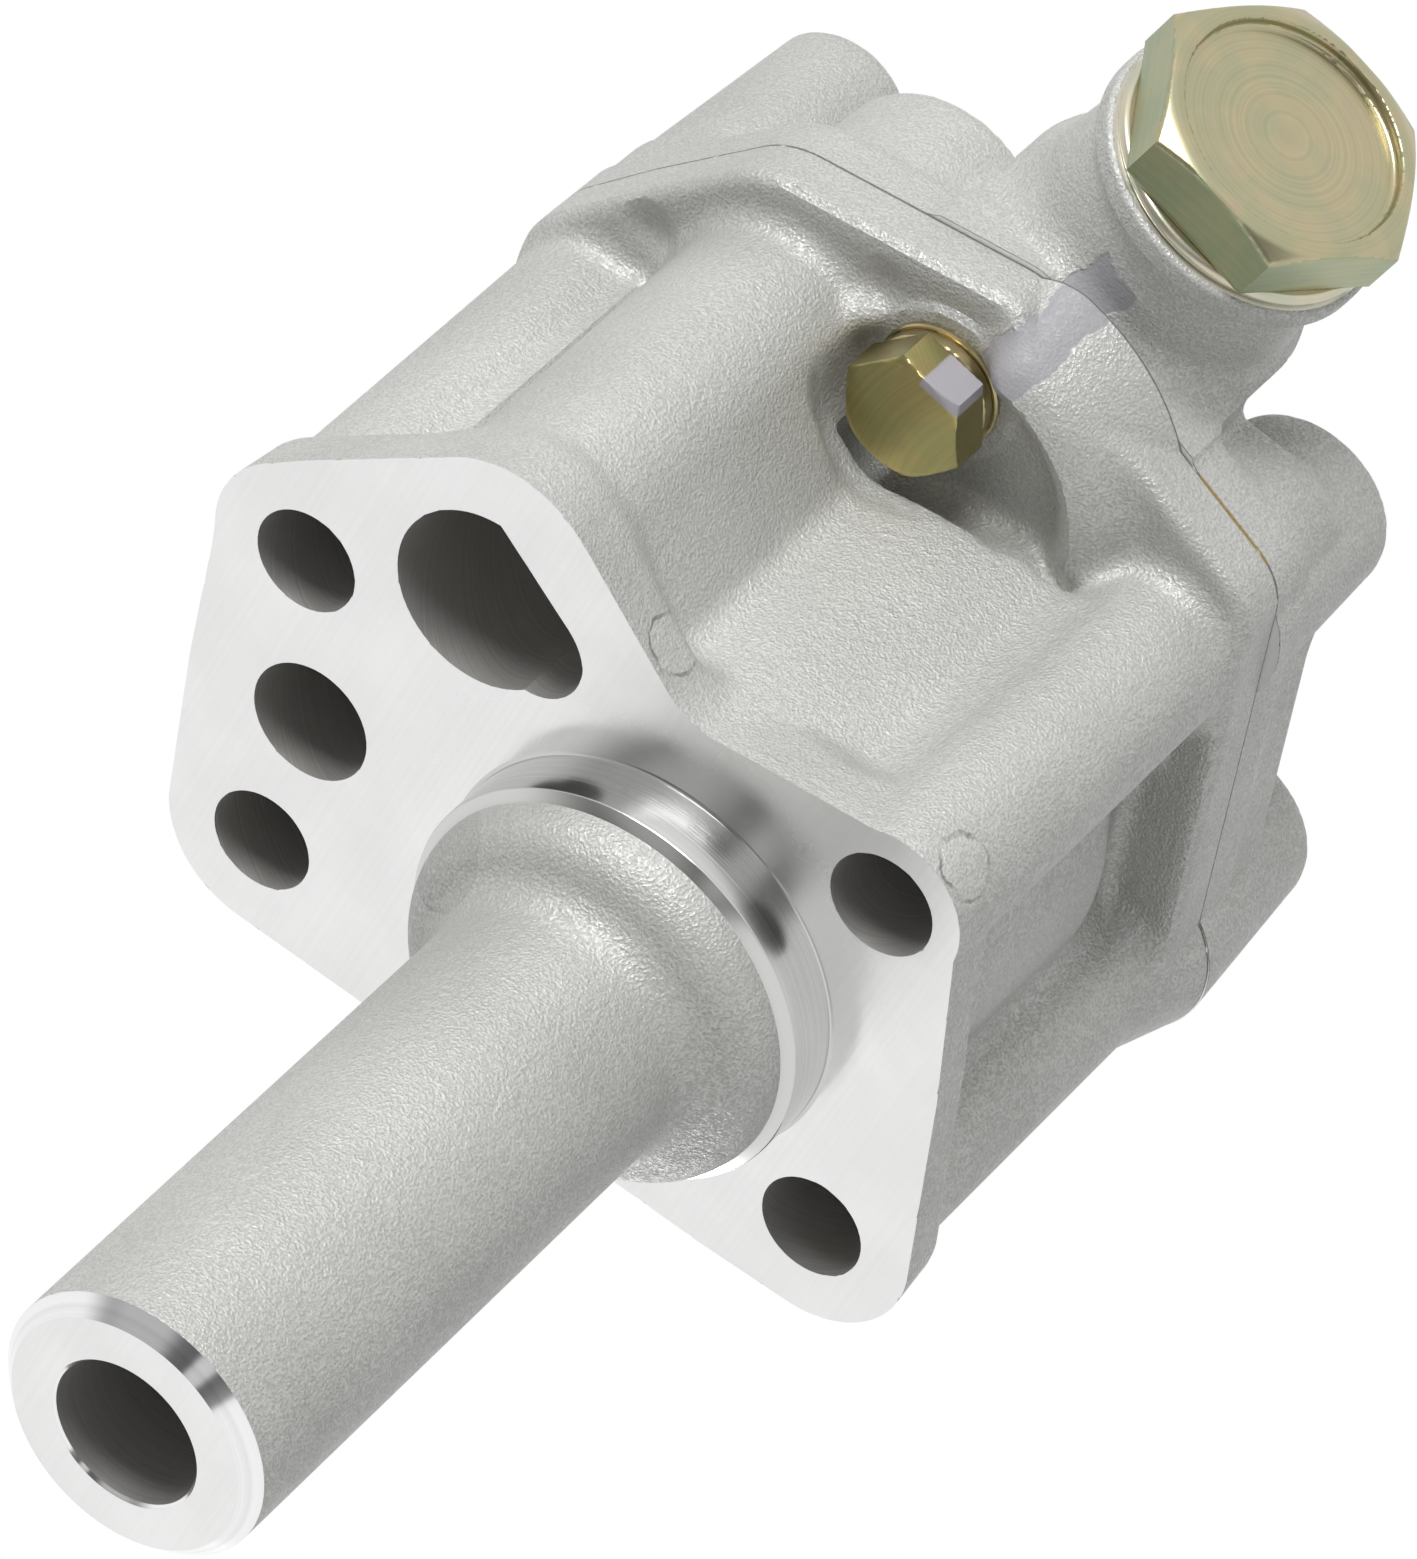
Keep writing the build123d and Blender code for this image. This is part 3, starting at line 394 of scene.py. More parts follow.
def read_table(table, x, y):
    """Value of a table at points, by linear interpolation in X and in Y."""
    u = np.clip((x - table_low[0]) / table_step, 0, table.shape[0] - 1.001)
    v = np.clip((y - table_low[1]) / table_step, 0, table.shape[1] - 1.001)
    u, v = np.broadcast_arrays(u, v)
    i, j = u.astype(int), v.astype(int)
    s, t = u - i, v - j
    return ((table[i, j] * (1 - s) + table[i + 1, j] * s) * (1 - t)
            + (table[i, j + 1] * (1 - s) + table[i + 1, j + 1] * s) * t)


def join(a, b, fillet):
    """Union of two distances with a concave fillet where their surfaces meet."""
    return (np.maximum(fillet, np.minimum(a, b))
            - np.hypot(np.maximum(fillet - a, 0), np.maximum(fillet - b, 0)))


def join_outlines(a, b, fillet):
    """Union of two outline tables with an arc that touches both. With u and v the depths below
    the fillet's centre along the two normals and c the normals' product, the distance from that
    centre is the root of (u*u + v*v - 2*u*v*c) / (1 - c*c)."""
    slope_a, slope_b = np.gradient(a, table_step), np.gradient(b, table_step)
    c = np.clip(slope_a[0] * slope_b[0] + slope_a[1] * slope_b[1], -0.98, 0.98)
    u, v = fillet - a, fillet - b
    corner = (u > c * v) & (v > c * u) & (u > 0) & (v > 0)
    reach = np.sqrt(np.maximum(u * u + v * v - 2 * u * v * c, 0) / (1 - c * c))
    return np.where(corner, np.minimum(fillet - reach, np.minimum(a, b)), np.minimum(a, b))


def flanged(wall, face, side, fillet, edge):
    """A wall that stands on a plate: a fillet between the wall and the plate's face, cut off at
    the plate's own side with a rounded edge."""
    return np.minimum(wall, meet(join(wall, face, fillet), side, edge))


def ball(x, y, z, centre, radius):
    return np.sqrt((x - centre[0]) ** 2 + (y - centre[1]) ** 2 + (z - centre[2]) ** 2) - radius


def meet(a, b, edge):
    """Common part of two distances with a rounded convex edge."""
    return -join(-a, -b, edge)


def disc(x, y, centre, radius):
    return np.hypot(x - centre[0], y - centre[1]) - radius


def taper(x, y, z, centre, radius, slope, height):
    """Distance to a drafted column: its radius at the given height grows by slope per millimetre
    towards the cover."""
    return disc(x, y, centre, radius) - slope * (height - z)


flange_outline = join_outlines(
    hull([(upper_left, 8.9), (lower_left, 8.8), (lower_right, 6.6), ((17.25, 0), 6.6),
          ((13.255, 34.0), 8.5)]),
    hull([(upper_right, 8.5), ((28.6, 17.8), 9.5), ((8.0, 8.0), 17.2)]), 7.0)
wall_outline = hull([((0, 1.0), 23.5)])
for discs, fillet in [
        ([(upper_right, 6.0), (upper_left, 6.0)], 2.5),
        ([(upper_left, 6.2), ((0, 1.0), 18)], 2.5),
        ([(upper_right, 5.27), ((0, 1.0), 18)], 2.5),
        ([(port_centre, 10.2), ((28.2, 17.9), 9.0), ((10, 10), 12)], 3.2)]:
    wall_outline = join_outlines(wall_outline, hull(discs), fillet)
rim_outline = hull([(upper_left, 8.9), ((20.9, 33.6), 7.8), ((33.05, 19.3), 8.0), ((36.05, 0.2), 5.0),
                    ((22.0, -20.9), 5.5), (lower_left, 7.3)])


def ridge(x, y, z, path, top, width, slope):
    """Distance to a soft rib on the rim, along an arc about a centre between two turns."""
    centre, radius, start, end = path
    turn = np.clip(np.arctan2(y - centre[1], x - centre[0]), start, end)
    across = np.hypot(x - centre[0] - radius * np.cos(turn), y - centre[1] - radius * np.sin(turn))
    return meet(across - width + slope * (z - rim_top_z), z - top, 2.6)


def body_soft(x, y, z):
    """Cast skin of the pump body, before machining."""
    # The chamber's wall has a flat panel under the flange, a recess for the cover bolt and a
    # shallow one on the far side, and a column at each bolt hole.
    walls = read_table(wall_outline, x, y) + 0.010 * (z + 39)
    panel = meet(meet(disc(x, y, (-6.7, -3.5), 29.9) + 0.045 * z, np.abs(y + 3.5) - 12.5, 2.0),
                 -33.2 - z, 0.6)
    panel = np.maximum(panel, 10 - x)
    walls = join(walls, panel, 2.2)
    pocket = meet(meet(21.2 - x, np.abs(y - 0.5) - 8.0, 2.5), z + 33.2, 0.5)
    pocket = np.minimum(pocket, meet(disc(x, y, cover_bolt_place, 7.0), z + 30.5, 1.5))
    under = meet(meet(y + 20.0 + 0.15 * (z + 36), np.abs(x + 1.2) - 8.0, 2.5), z + 33.0, 2.0)
    walls = meet(walls, -np.minimum(pocket, under), 1.5)
    for centre, radius in zip(bolt_holes, (6.5, 6.5, 6.95, 6.95)):
        walls = join(walls, taper(x, y, z, centre, radius, 0.003, -20), 2.4)
    shell = flanged(walls, flange_back_z - z, read_table(flange_outline, x, y) - 0.09 * z, 3.0, 0.9)
    # The rim for the cover widens at two corners, and has a soft rib and a nub by the cover bolt.
    ears = [np.maximum(taper(x, y, z, centre, radius, slope, parting_z), z + 30)
            for centre, radius, slope in [(upper_right, 8.0, 0.2), (lower_left, 9.1, 0.27)]]
    posts = np.minimum(walls, np.minimum(*ears))
    lip = ridge(x, y, z, ((24.4, 0.6), 12.7, -1.66, -0.35), -35.0, 3.0, 0.45)
    posts = join(posts, lip, 2.4)
    posts = join(posts, ball(x, y, z, (34.2, 10.0, -38.4), 1.0), 2.2)
    rim = flanged(posts, z - rim_top_z, read_table(rim_outline, x, y) - 0.02 * (z + 44), 2.0, 1.2)
    shell = np.minimum(shell, np.minimum(rim, np.minimum(*ears)))
    # Two dimples in the rim, and the spot face that the cover bolt's washers lie on.
    dimples = np.minimum(ball(x, y, z, (37.4, 9.4, -37.6), 2.0),
                         ball(x, y, z, (30.7, 30.2, -37.7), 2.4))
    shell = meet(shell, -dimples, 0.8)
    seat = meet(disc(x, y, cover_bolt_place, 6.6), z + 38.5, 0.3)
    return join(shell, seat, 0.6)


def body_cuts(x, y, z):
    """Planes and holes machined into the body: each is a distance that is positive in the cut."""
    side = (x - port_centre[0]) * 0.760 - (y - port_centre[1]) * 0.649
    port = np.minimum(np.maximum(disc(x, y, port_centre, 7.8), side - 6.2),
                      disc(x, y, (23.0, 13.3), 4.25))
    cuts = [z, parting_z - z, -np.maximum(port, port_floor_z - z),
            -np.maximum(disc(x, y, gallery_centre, gallery_radius), gallery_floor_z - z),
            -disc(x, y, shaft_place, 5.5),
            -np.maximum(disc(x, y, shaft_place, bush_radius), z + 10),
            -np.maximum(disc(x, y, chamber_centre, chamber_radius), z - chamber_roof_z),
            -np.maximum(disc(x, y, cover_bolt_place, 3.3), z + 36)]
    return cuts + [-disc(x, y, centre, bolt_hole_radius) for centre in bolt_holes]


def carve(soft, cuts):
    """Distance to a cast shape after its cuts, with sharp machined edges."""
    def shape(x, y, z):
        distance = soft(x, y, z)
        for cut in cuts(x, y, z):
            distance = np.maximum(distance, cut)
        return distance
    return shape


def skin(shape, low, high, step):
    """Closed surface where a distance is zero. On each grid edge that the surface crosses, the
    crossing and the normal are found; each cell's vertex is the point nearest to its crossings'
    tangent planes, so flat faces stay flat and machined edges stay sharp; each crossed edge joins
    the four cells round it in one face."""
    axes = [low[i] + step * np.arange(int((high[i] - low[i]) / step) + 2) for i in range(3)]
    value = shape(axes[0][:, None, None], axes[1][None, :, None], axes[2][None, None, :])
    size = value.shape
    inside = value < 0
    cell_of, places, normals, faces = [], [], [], []
    for axis in range(3):
        before = tuple(slice(0, -1) if i == axis else slice(None) for i in range(3))
        after = tuple(slice(1, None) if i == axis else slice(None) for i in range(3))
        crossed = np.argwhere(inside[before] != inside[after])
        stride = np.zeros(3, int)
        stride[axis] = 1
        near = value[tuple(crossed.T)]
        far = value[tuple((crossed + stride).T)]
        corner = np.stack([axes[i][crossed[:, i]] for i in range(3)], axis=1)
        start, end = np.zeros(len(near)), np.ones(len(near))
        outward = near < 0
        for _ in range(4):
            share = start + (end - start) * near / (near - far)
            place = corner.copy()
            place[:, axis] += share * step
            middle = shape(place[:, 0], place[:, 1], place[:, 2])
            same = (middle < 0) == outward
            start, near = np.where(same, share, start), np.where(same, middle, near)
            end, far = np.where(same, end, share), np.where(same, far, middle)
        normal = np.empty_like(place)
        for i in range(3):
            nudge = np.zeros(3)
            nudge[i] = 0.03
            normal[:, i] = shape(*(place + nudge).T) - shape(*(place - nudge).T)
        normal /= np.maximum(np.linalg.norm(normal, axis=1, keepdims=True), 1e-9)
        b, c = (axis + 1) % 3, (axis + 2) % 3
        ring = []
        for back_b, back_c in [(0, 0), (1, 0), (1, 1), (0, 1)]:
            cell = crossed.copy()
            cell[:, b] -= back_b
            cell[:, c] -= back_c
            ring.append((cell[:, 0] * size[1] + cell[:, 1]) * size[2] + cell[:, 2])
            cell_of.append(ring[-1])
            places.append(place)
            normals.append(normal)
        ring = np.stack(ring, axis=1)
        ring[~outward] = ring[~outward][:, ::-1]
        faces.append(ring)
    cells, slot_of = np.unique(np.concatenate(cell_of), return_inverse=True)
    places, normals = np.concatenate(places), np.concatenate(normals)

    def total(weights):
        return np.bincount(slot_of, weights, len(cells))

    count = total(np.ones(len(places)))
    centre = np.stack([total(places[:, i]) / count for i in range(3)], axis=1)
    lean = np.sum(normals * (places - centre[slot_of]), axis=1)
    matrix = np.empty((len(cells), 3, 3))
    for i in range(3):
        for j in range(3):
            matrix[:, i, j] = total(normals[:, i] * normals[:, j]) / count
    matrix += 0.02 * np.eye(3)
    pull = np.stack([total(normals[:, i] * lean) / count for i in range(3)], axis=1)
    shift = np.linalg.solve(matrix, pull[:, :, None])[:, :, 0]
    index = np.stack(np.unravel_index(cells, size), axis=1)
    cell_low = np.stack([axes[i][index[:, i]] for i in range(3)], axis=1)
    vertices = np.clip(centre + shift, cell_low, cell_low + step)
    faces = np.searchsorted(cells, np.concatenate(faces))
    return vertices, faces


def add_mesh(name, vertices, faces, materials, material_of=None):
    """Makes an object of vertices in millimetres, smooth but for edges over 32 degrees."""
    mesh = bpy.data.meshes.new(name)
    mesh.from_pydata((np.asarray(vertices) * MM).tolist(), [], np.asarray(faces).tolist())
    for material in materials:
        mesh.materials.append(material)
    if material_of is not None:
        mesh.polygons.foreach_set("material_index", np.asarray(material_of, dtype=np.int32))
    mesh.polygons.foreach_set("use_smooth", np.ones(len(mesh.polygons), dtype=bool))
    mesh.set_sharp_from_angle(angle=math.radians(32))
    piece = bpy.data.objects.new(name, mesh)
    scene.collection.objects.link(piece)
    return piece


def cut_faces(vertices, faces, cuts, planes):
    """Sorts faces into cast skin, milled planes (the first cuts) and bored holes (the rest)."""
    x, y, z = np.asarray(vertices)[faces].mean(axis=1).T
    near = [np.abs(cut) < 0.04 for cut in cuts(x, y, z)]
    return np.where(np.any(near[:planes], axis=0), 1, np.where(np.any(near[planes:], axis=0), 2, 0))


casting_grid, fine_grid = 0.62, 0.22
vertices, faces = skin(carve(body_soft, body_cuts), (-27.9, -29.4, -45.1), (43.3, 44.9, 1.1), casting_grid)
body_casting = add_mesh("body_casting", vertices, faces, [cast_metal, milled_metal, bore_metal],
                        cut_faces(vertices, faces, body_cuts, 2))
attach(body_casting, "housing")


# Snout and spigot
# The same casting goes on as a long tube, which guides the drive spindle. Its foot is turned to
# fit the engine's bore, the cast shoulder above it is left rough, and the tip is faced off.
def revolve(profile, turns=192):
    """Closed surface that turns a closed outline of (radius, height) about Z."""
    profile = np.asarray(profile, dtype=float)
    angle = np.linspace(0, 2 * math.pi, turns, endpoint=False)[:, None]
    vertices = np.stack([profile[:, 0] * np.cos(angle), profile[:, 0] * np.sin(angle),
                         profile[:, 1] + 0 * angle], axis=-1).reshape(-1, 3)
    along, around = np.meshgrid(np.arange(len(profile)), np.arange(turns))
    onward, beside = (along + 1) % len(profile), (around + 1) % turns
    rows = len(profile)
    faces = np.stack([around * rows + along, beside * rows + along, beside * rows + onward,
                      around * rows + onward], axis=-1).reshape(-1, 4)
    return vertices, faces, along.ravel()


def arc(centre, radius, start, end, count):
    """Points of an arc, by its centre, radius and two angles in degrees."""
    turn = np.radians(np.linspace(start, end, count))
    return np.stack([centre[0] + radius * np.cos(turn), centre[1] + radius * np.sin(turn)], axis=-1)


tube_radius, tip_z, shoulder_radius, shoulder_z = 11.35, 66.8, 16.53, 5.5
crown_round, hollow_round = 4.5, 4.0
shoulder_centre = (shoulder_radius - crown_round, shoulder_z)
hollow_x = tube_radius + hollow_round
bend = math.degrees(math.acos((hollow_x - shoulder_centre[0]) / (crown_round + hollow_round)))
hollow_z = shoulder_z + (crown_round + hollow_round) * math.sin(math.radians(bend))
outline = np.concatenate([
    [(5.5, -3.0), (17.78, -3.0), (17.78, 0.01), (17.6, 0.05), (17.5, 0.15), (17.47, 0.3), (17.47, 4.75),
     (17.4, 4.92), (16.6, 5.46), (shoulder_radius, shoulder_z)],
    arc(shoulder_centre, crown_round, 0, bend, 14)[1:],
    arc((hollow_x, hollow_z), hollow_round, 180 + bend, 180, 14)[1:],
    np.stack([np.full(24, tube_radius), np.linspace(hollow_z + 1, 65.4, 24)], axis=-1),
    [(10.0, tip_z), (6.45, tip_z), (6.19, 66.55), (6.19, 38.0), (5.5, 38.0)]])
spigot_rows = np.isin(np.arange(len(outline)), np.arange(1, 9))
bore_rows = (outline[:, 0] < 6.3) & (outline[:, 1] < tip_z - 0.1)
face_rows = outline[:, 0] == 10.0
metal_of_row = np.select([bore_rows, face_rows, spigot_rows, outline[:, 1] > 65.3], [2, 4, 3, 1], 0)
vertices, faces, row = revolve(outline)
snout = add_mesh("snout", vertices, faces,
                 [cast_metal, turned_metal, bore_metal, spigot_metal_painted_shade, milled_metal], metal_of_row[row])
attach(snout, "housing")
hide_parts("pump_body")
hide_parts("pump_body")


# Pump cover
# A second aluminium casting closes the rotor chamber. Five bosses stand on it, for the engine
# bolts and the port, and a thick round boss across it houses the relief valve.
valve_along, valve_across = (0.894934, -0.446198), (0.446198, 0.894934)
valve_side, valve_z, cover_lip_z, cover_floor_z = 12.65, -57.5, -48.7, -54.7
floor_outline = hull([(upper_left, 8.0), (upper_right, 8.0), (port_centre, 10.5),
                      ((21.47, -19.1), 6.9), (lower_left, 6.9)])


def valve_frame(x, y):
    """Place along the relief valve's axis and beside it."""
    return (x * valve_along[0] + y * valve_along[1],
            x * valve_across[0] + y * valve_across[1] - valve_side)


def cover_soft(x, y, z):
    """Cast skin of the cover, before machining."""
    # The bosses stand on a thin lip with the rim's outline and on a thicker floor inside it.
    pillars = np.inf
    for centre, base, slope, end in [
            (upper_right, 8.0, 0.047, -76.0), (upper_left, 8.0, 0.047, -76.0),
            (port_centre, 10.5, 0.045, -65.0), (lower_right, 8.4, 0.03, -62.1),
            (lower_left, 9.2, 0.066, -62.1)]:
        pillar = meet(disc(x, y, centre, base) + slope * (parting_z - z), end - z, 1.2)
        pillars = np.minimum(pillars, pillar)
    rim_side = read_table(rim_outline, x, y) + 0.02 * (parting_z - z)
    floor_side = read_table(floor_outline, x, y) + 0.02 * (parting_z - z)
    shell = flanged(pillars, cover_floor_z - z, floor_side, 2.2, 1.2)
    shell = flanged(shell, cover_lip_z - z, rim_side, 1.5, 1.0)
    # The relief valve lies in a block under the lip, and comes out of it in a tapered round boss.
    along, side = valve_frame(x, y)
    block = np.hypot(side, np.minimum(z - valve_z, 0)) - 12.95
    block = meet(block, -4 - along, 2.0)
    across = np.hypot(side, z - valve_z)
    boss = meet(across - 12.9 + 0.0727 * (along - 23), np.abs(along - 33.6) - 13.2, 0.3)
    root = np.maximum(join(boss, rim_side, 3.0), block)
    shell = np.minimum(join(shell, np.maximum(block, rim_side), 1.6), root)
    return np.minimum(shell, boss)


def cover_cuts(x, y, z):
    """Planes and holes machined into the cover: on the valve's axis the plug's thread, the piston's
    bore and its feed, then its spill hole, the shaft's bush and the bolts."""
    along, side = valve_frame(x, y)
    across = np.hypot(side, z - valve_z)
    cuts = [z - parting_z,
            -np.maximum(across - 9.0, 34.1 - along),
            -np.maximum(across - 6.5, 6.5 - along),
            -np.maximum(across - 5.0, -along),
            -np.maximum(disc(x, y, (19.516, 4.404), 3.0), z - valve_z),
            -np.maximum(disc(x, y, shaft_place, bush_radius), -49.0 - z),
            -np.maximum(disc(x, y, cover_bolt_place, 3.0), -49.3 - z)]
    return cuts + [-disc(x, y, centre, bolt_hole_radius) for centre in bolt_holes]


vertices, faces = skin(carve(cover_soft, cover_cuts), (-27.9, -30.4, -77.3), (56.3, 44.9, -43.1),
                       casting_grid)
cover_casting = add_mesh("cover_casting", vertices, faces, [cast_metal, milled_metal, bore_metal],
                         cut_faces(vertices, faces, cover_cuts, 1))
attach(cover_casting, "housing")
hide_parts("pump_cover")


def from_valve(along, side, rise):
    """Places given along, beside and above the valve's axis, in the pump's own directions."""
    return np.stack([along * valve_along[0] + (side + valve_side) * valve_across[0],
                     along * valve_along[1] + (side + valve_side) * valve_across[1],
                     rise + valve_z], axis=1)


# The boss ends in a thicker collar, whose outer edge is round and whose face is milled.
collar = np.concatenate([[(9.0, 44.6), (11.1, 44.6)], arc((11.9, 45.9), 0.6, 235, 360, 12),
                         arc((12.0, 47.1), 0.5, 0, 90, 10), [(9.0, 47.6)]])
vertices, faces, row = revolve(collar)
boss_collar = add_mesh("boss_collar", from_valve(vertices[:, 2], vertices[:, 0], vertices[:, 1]), faces,
                       [cast_metal, milled_metal], row >= len(collar) - 2)
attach(boss_collar, "housing")
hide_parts("pump_cover")


# Metals of the loose parts
# The fasteners are steel with yellow zinc plating, whose film shifts between straw, green and a
# little red, over the lines of turning and drawing.
film_group, given, result = add_group("zinc_film", [("Place", "Vector")], [("Color", "Color")])
patches = noise(film_group, given.outputs[0], 260.0, 2.0)
flecks = noise(film_group, given.outputs[0], 900.0, 3.0)
film = blend(film_group, remap(film_group, patches, 0.38, 0.62), (0.54, 0.5, 0.34), (0.47, 0.48, 0.33))
film = blend(film_group, remap(film_group, flecks, 0.5, 0.75, 0.0, 0.4), film, (0.53, 0.44, 0.36))
film_group.links.new(film, result.inputs[0])


def zinc_plated(name, centre, axis, pitch, depth, rough, tint):
    """Plated steel, with turning lines round an axis through the centre and draw lines along it."""
    material, tree, shader, place = new_metal(name, rough, 1.0)
    local = add_node(tree, "VectorMath", {0: place, 1: centre}, operation="SUBTRACT").outputs[0]
    height = add_node(tree, "VectorMath", {0: local, 1: axis}, operation="DOT_PRODUCT").outputs["Value"]
    reach = add_node(tree, "VectorMath", {0: local}, operation="LENGTH").outputs["Value"]
    lines = use_group(tree, turning_group, {"Reach": math_node(tree, "MULTIPLY_ADD", height, 0.6, reach),
                                            "Pitch": pitch})
    film = use_group(tree, film_group, {"Place": place})
    colour = scaled(tree, blend(tree, 1.0, film["Color"], tint, "MULTIPLY"), lines["Tone"])
    tree.links.new(colour, shader.inputs["Base Color"])
    bump(tree, shader, lines["Height"], depth)
    return material


def plain_steel(name, colour, rough, scale, depth):
    """Metal with a fine grain of its own: sintered, ground or drawn, by scale and depth."""
    material, tree, shader, place = new_metal(name, rough, 1.0)
    grit = noise(tree, place, scale, 3.0)
    wear = noise(tree, place, 120.0, 3.0)
    tone = math_node(tree, "MULTIPLY", remap(tree, grit, 0.3, 0.7, 0.9, 1.08),
                     remap(tree, wear, 0.3, 0.7, 0.94, 1.04))
    tree.links.new(scaled(tree, colour, tone), shader.inputs["Base Color"])
    tree.links.new(remap(tree, wear, 0.3, 0.7, rough - 0.05, rough + 0.06), shader.inputs["Roughness"])
    bump(tree, shader, grit, depth)
    return material


# Relief valve plug
# A hexagon plug of plated steel screws into the boss. Its head has a turned washer face with a
# shallow dish inside a narrow rim, and its corners are chamfered; the stud behind it is hollow.
def hexagon(u, v, half_width, turn):
    """Distance to a hexagonal bar, with its first flat facing the given angle in degrees."""
    flats = [u * math.cos(math.radians(turn + 60 * i)) + v * math.sin(math.radians(turn + 60 * i))
             for i in range(6)]
    return np.max(np.broadcast_arrays(*flats), axis=0) - half_width


head_foot, head_face, chamfer_radius, chamfer_slope = 48.8, 54.4, 10.75, 0.58
dish_radius, dish_floor, stud_radius, stud_start = 9.75, 53.4, 8.95, 36.8
hollow_radius, hollow_end = 5.6, 42.8


def plug_shape(along, u, v):
    """Distance to the plug, with the valve's axis as the first direction."""
    out = np.hypot(u, v)
    head = meet(hexagon(u, v, 11.0, 30), head_foot - along, 0.3)
    cone = (out - chamfer_radius + (along - head_face) / chamfer_slope) * 0.5
    head = meet(head, meet(cone, along - head_face, 0.35), 0.25)
    stud = np.maximum(out - stud_radius, np.maximum(stud_start - along, along - 50))
    dish = meet(out - dish_radius, dish_floor - along, 0.4)
    head = meet(head, -dish, 0.3)
    hollow = np.maximum(out - hollow_radius, along - hollow_end)
    return np.maximum(np.minimum(head, stud), -hollow)


vertices, faces = skin(plug_shape, (36.2, -13.2, -13.2), (54.9, 13.2, 13.2), fine_grid)
corners = vertices[faces]
facing = np.cross(corners[:, 2] - corners[:, 0], corners[:, 3] - corners[:, 1])
upright = np.abs(facing[:, 0]) < 0.35 * np.linalg.norm(facing, axis=1)
drawn = upright & (np.hypot(*corners.mean(axis=1).T[1:]) > 10.2)
vertices = from_valve(*vertices.T)
plug_centre = tuple(from_valve(*np.array([[47.4], [0.0], [0.0]]))[0] * MM)
valve_axis = (*valve_along, 0)
plug_turned = zinc_plated("plug_turned_zinc", plug_centre, valve_axis, 0.00022, 0.00001, 0.3,
                          (0.9, 0.86, 0.8))
# The hexagon's sides get a greener and darker tint than the turned face: the greener tone is the plating's
# own, the darker level is painted shade on the sides.
plug_sides_painted_shade = zinc_plated("plug_sides_zinc_painted_shade", (0, 0, 0), (0.7, -0.4, 1.4), 0.0003, 0.000012, 0.32,
                         (0.66, 0.74, 0.66))
plug = add_mesh("hexagon_plug", vertices, faces, [plug_turned, plug_sides_painted_shade], drawn)
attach(plug, "housing")
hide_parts("relief_valve_plug")

# The crush washer between the head and the boss has gone round at its edge.
rim = arc((11.25, 48.2), 0.6, -90, 90, 12)
vertices, faces, row = revolve(np.concatenate([[(9.05, 47.6)], rim, [(9.05, 48.8)]]))
vertices = from_valve(vertices[:, 2], vertices[:, 0], vertices[:, 1])
crush_zinc = zinc_plated("crush_washer_zinc", plug_centre, valve_axis, 0.0004, 0.00001, 0.3,
                         (1.15, 1.15, 1.3))
crush_washer = add_mesh("crush_washer", vertices, faces, [crush_zinc])
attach(crush_washer, "housing")
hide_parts("plug_sealing_washer")


# Cover bolt
# A small plated hexagon bolt holds the cover to the body before the pump is fitted. Its head has
# drawn sides, one of them brushed with the marking paint, and it sits on a split and a plain washer.
bolt_x, bolt_y, bolt_top = *cover_bolt_place, -32.7
bolt_middle = (bolt_x * MM, bolt_y * MM, -0.06)
head_height, shank_radius, shank_end = 4.0, 2.95, -48.7
washer_inner, washer_outer, split_washer_z = 3.05, 5.1, -37.35


def bolt_shape(x, y, z):
    u, v = x - bolt_x, y - bolt_y
    out = np.hypot(u, v)
    head = meet(hexagon(u, v, 5.0, 40), z - bolt_top, 0.12)
    head = meet(head, (out - 4.95 + (z - bolt_top) / chamfer_slope) * 0.5, 0.12)
    head = meet(head, bolt_top - head_height - z, 0.15)
    shank = np.maximum(out - shank_radius, np.maximum(shank_end - z, z - bolt_top + 2))
    return np.minimum(head, shank)


vertices, faces = skin(bolt_shape, (bolt_x - 6.2, bolt_y - 6.2, -49.1),
                       (bolt_x + 6.2, bolt_y + 6.2, -32.2), fine_grid)
bolt_zinc = zinc_plated("bolt_zinc", bolt_middle, (0.4, 0.9, 0.05), 0.00025, 0.000012, 0.28,
                        (0.84, 0.76, 0.48))
tree = bolt_zinc.node_tree
spot = add_node(tree, "SeparateXYZ", {0: tree.nodes["Texture Coordinate"].outputs["Object"]}).outputs
# The brush took the half of one side of the head that lies away from the port.
side_facing, side_along = (0.94, -0.342), (0.342, 0.94)
brushed = remap(tree, in_plane(tree, spot, side_facing, 0.0325), 0.0, 0.0003)
brushed_half = remap(tree, in_plane(tree, spot, side_along, 0.0138), 0.0003, 0.0)
brushed = math_node(tree, "MULTIPLY", brushed, brushed_half)
shader = tree.nodes["Principled BSDF"]
film = shader.inputs["Base Color"].links[0].from_socket
tree.links.new(blend(tree, brushed, film, (0.45, 0.43, 0.47)), shader.inputs["Base Color"])
tree.links.new(math_node(tree, "SUBTRACT", 1.0, brushed), shader.inputs["Metallic"])
bolt_head = add_mesh("hexagon_bolt", vertices, faces, [bolt_zinc])
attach(bolt_head, "housing")
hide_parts("cover_bolt")
washer_zinc = zinc_plated("washer_zinc", bolt_middle, (0, 0, 1), 0.0003, 0.00001, 0.3,
                          (0.95, 0.85, 0.7))


def split_washer_shape(x, y, z):
    u, v = x - bolt_x, y - bolt_y
    out = np.hypot(u, v)
    rise = z - split_washer_z
    ring = meet(meet(out - washer_outer, washer_inner - out, 0.2), np.abs(rise) - 0.65, 0.3)
    turn = math.radians(60)
    gap = np.maximum(np.abs(v * math.cos(turn) - u * math.sin(turn) - 0.4 * rise) - 0.3,
                     -u * math.cos(turn) - v * math.sin(turn))
    return np.maximum(ring, -gap)


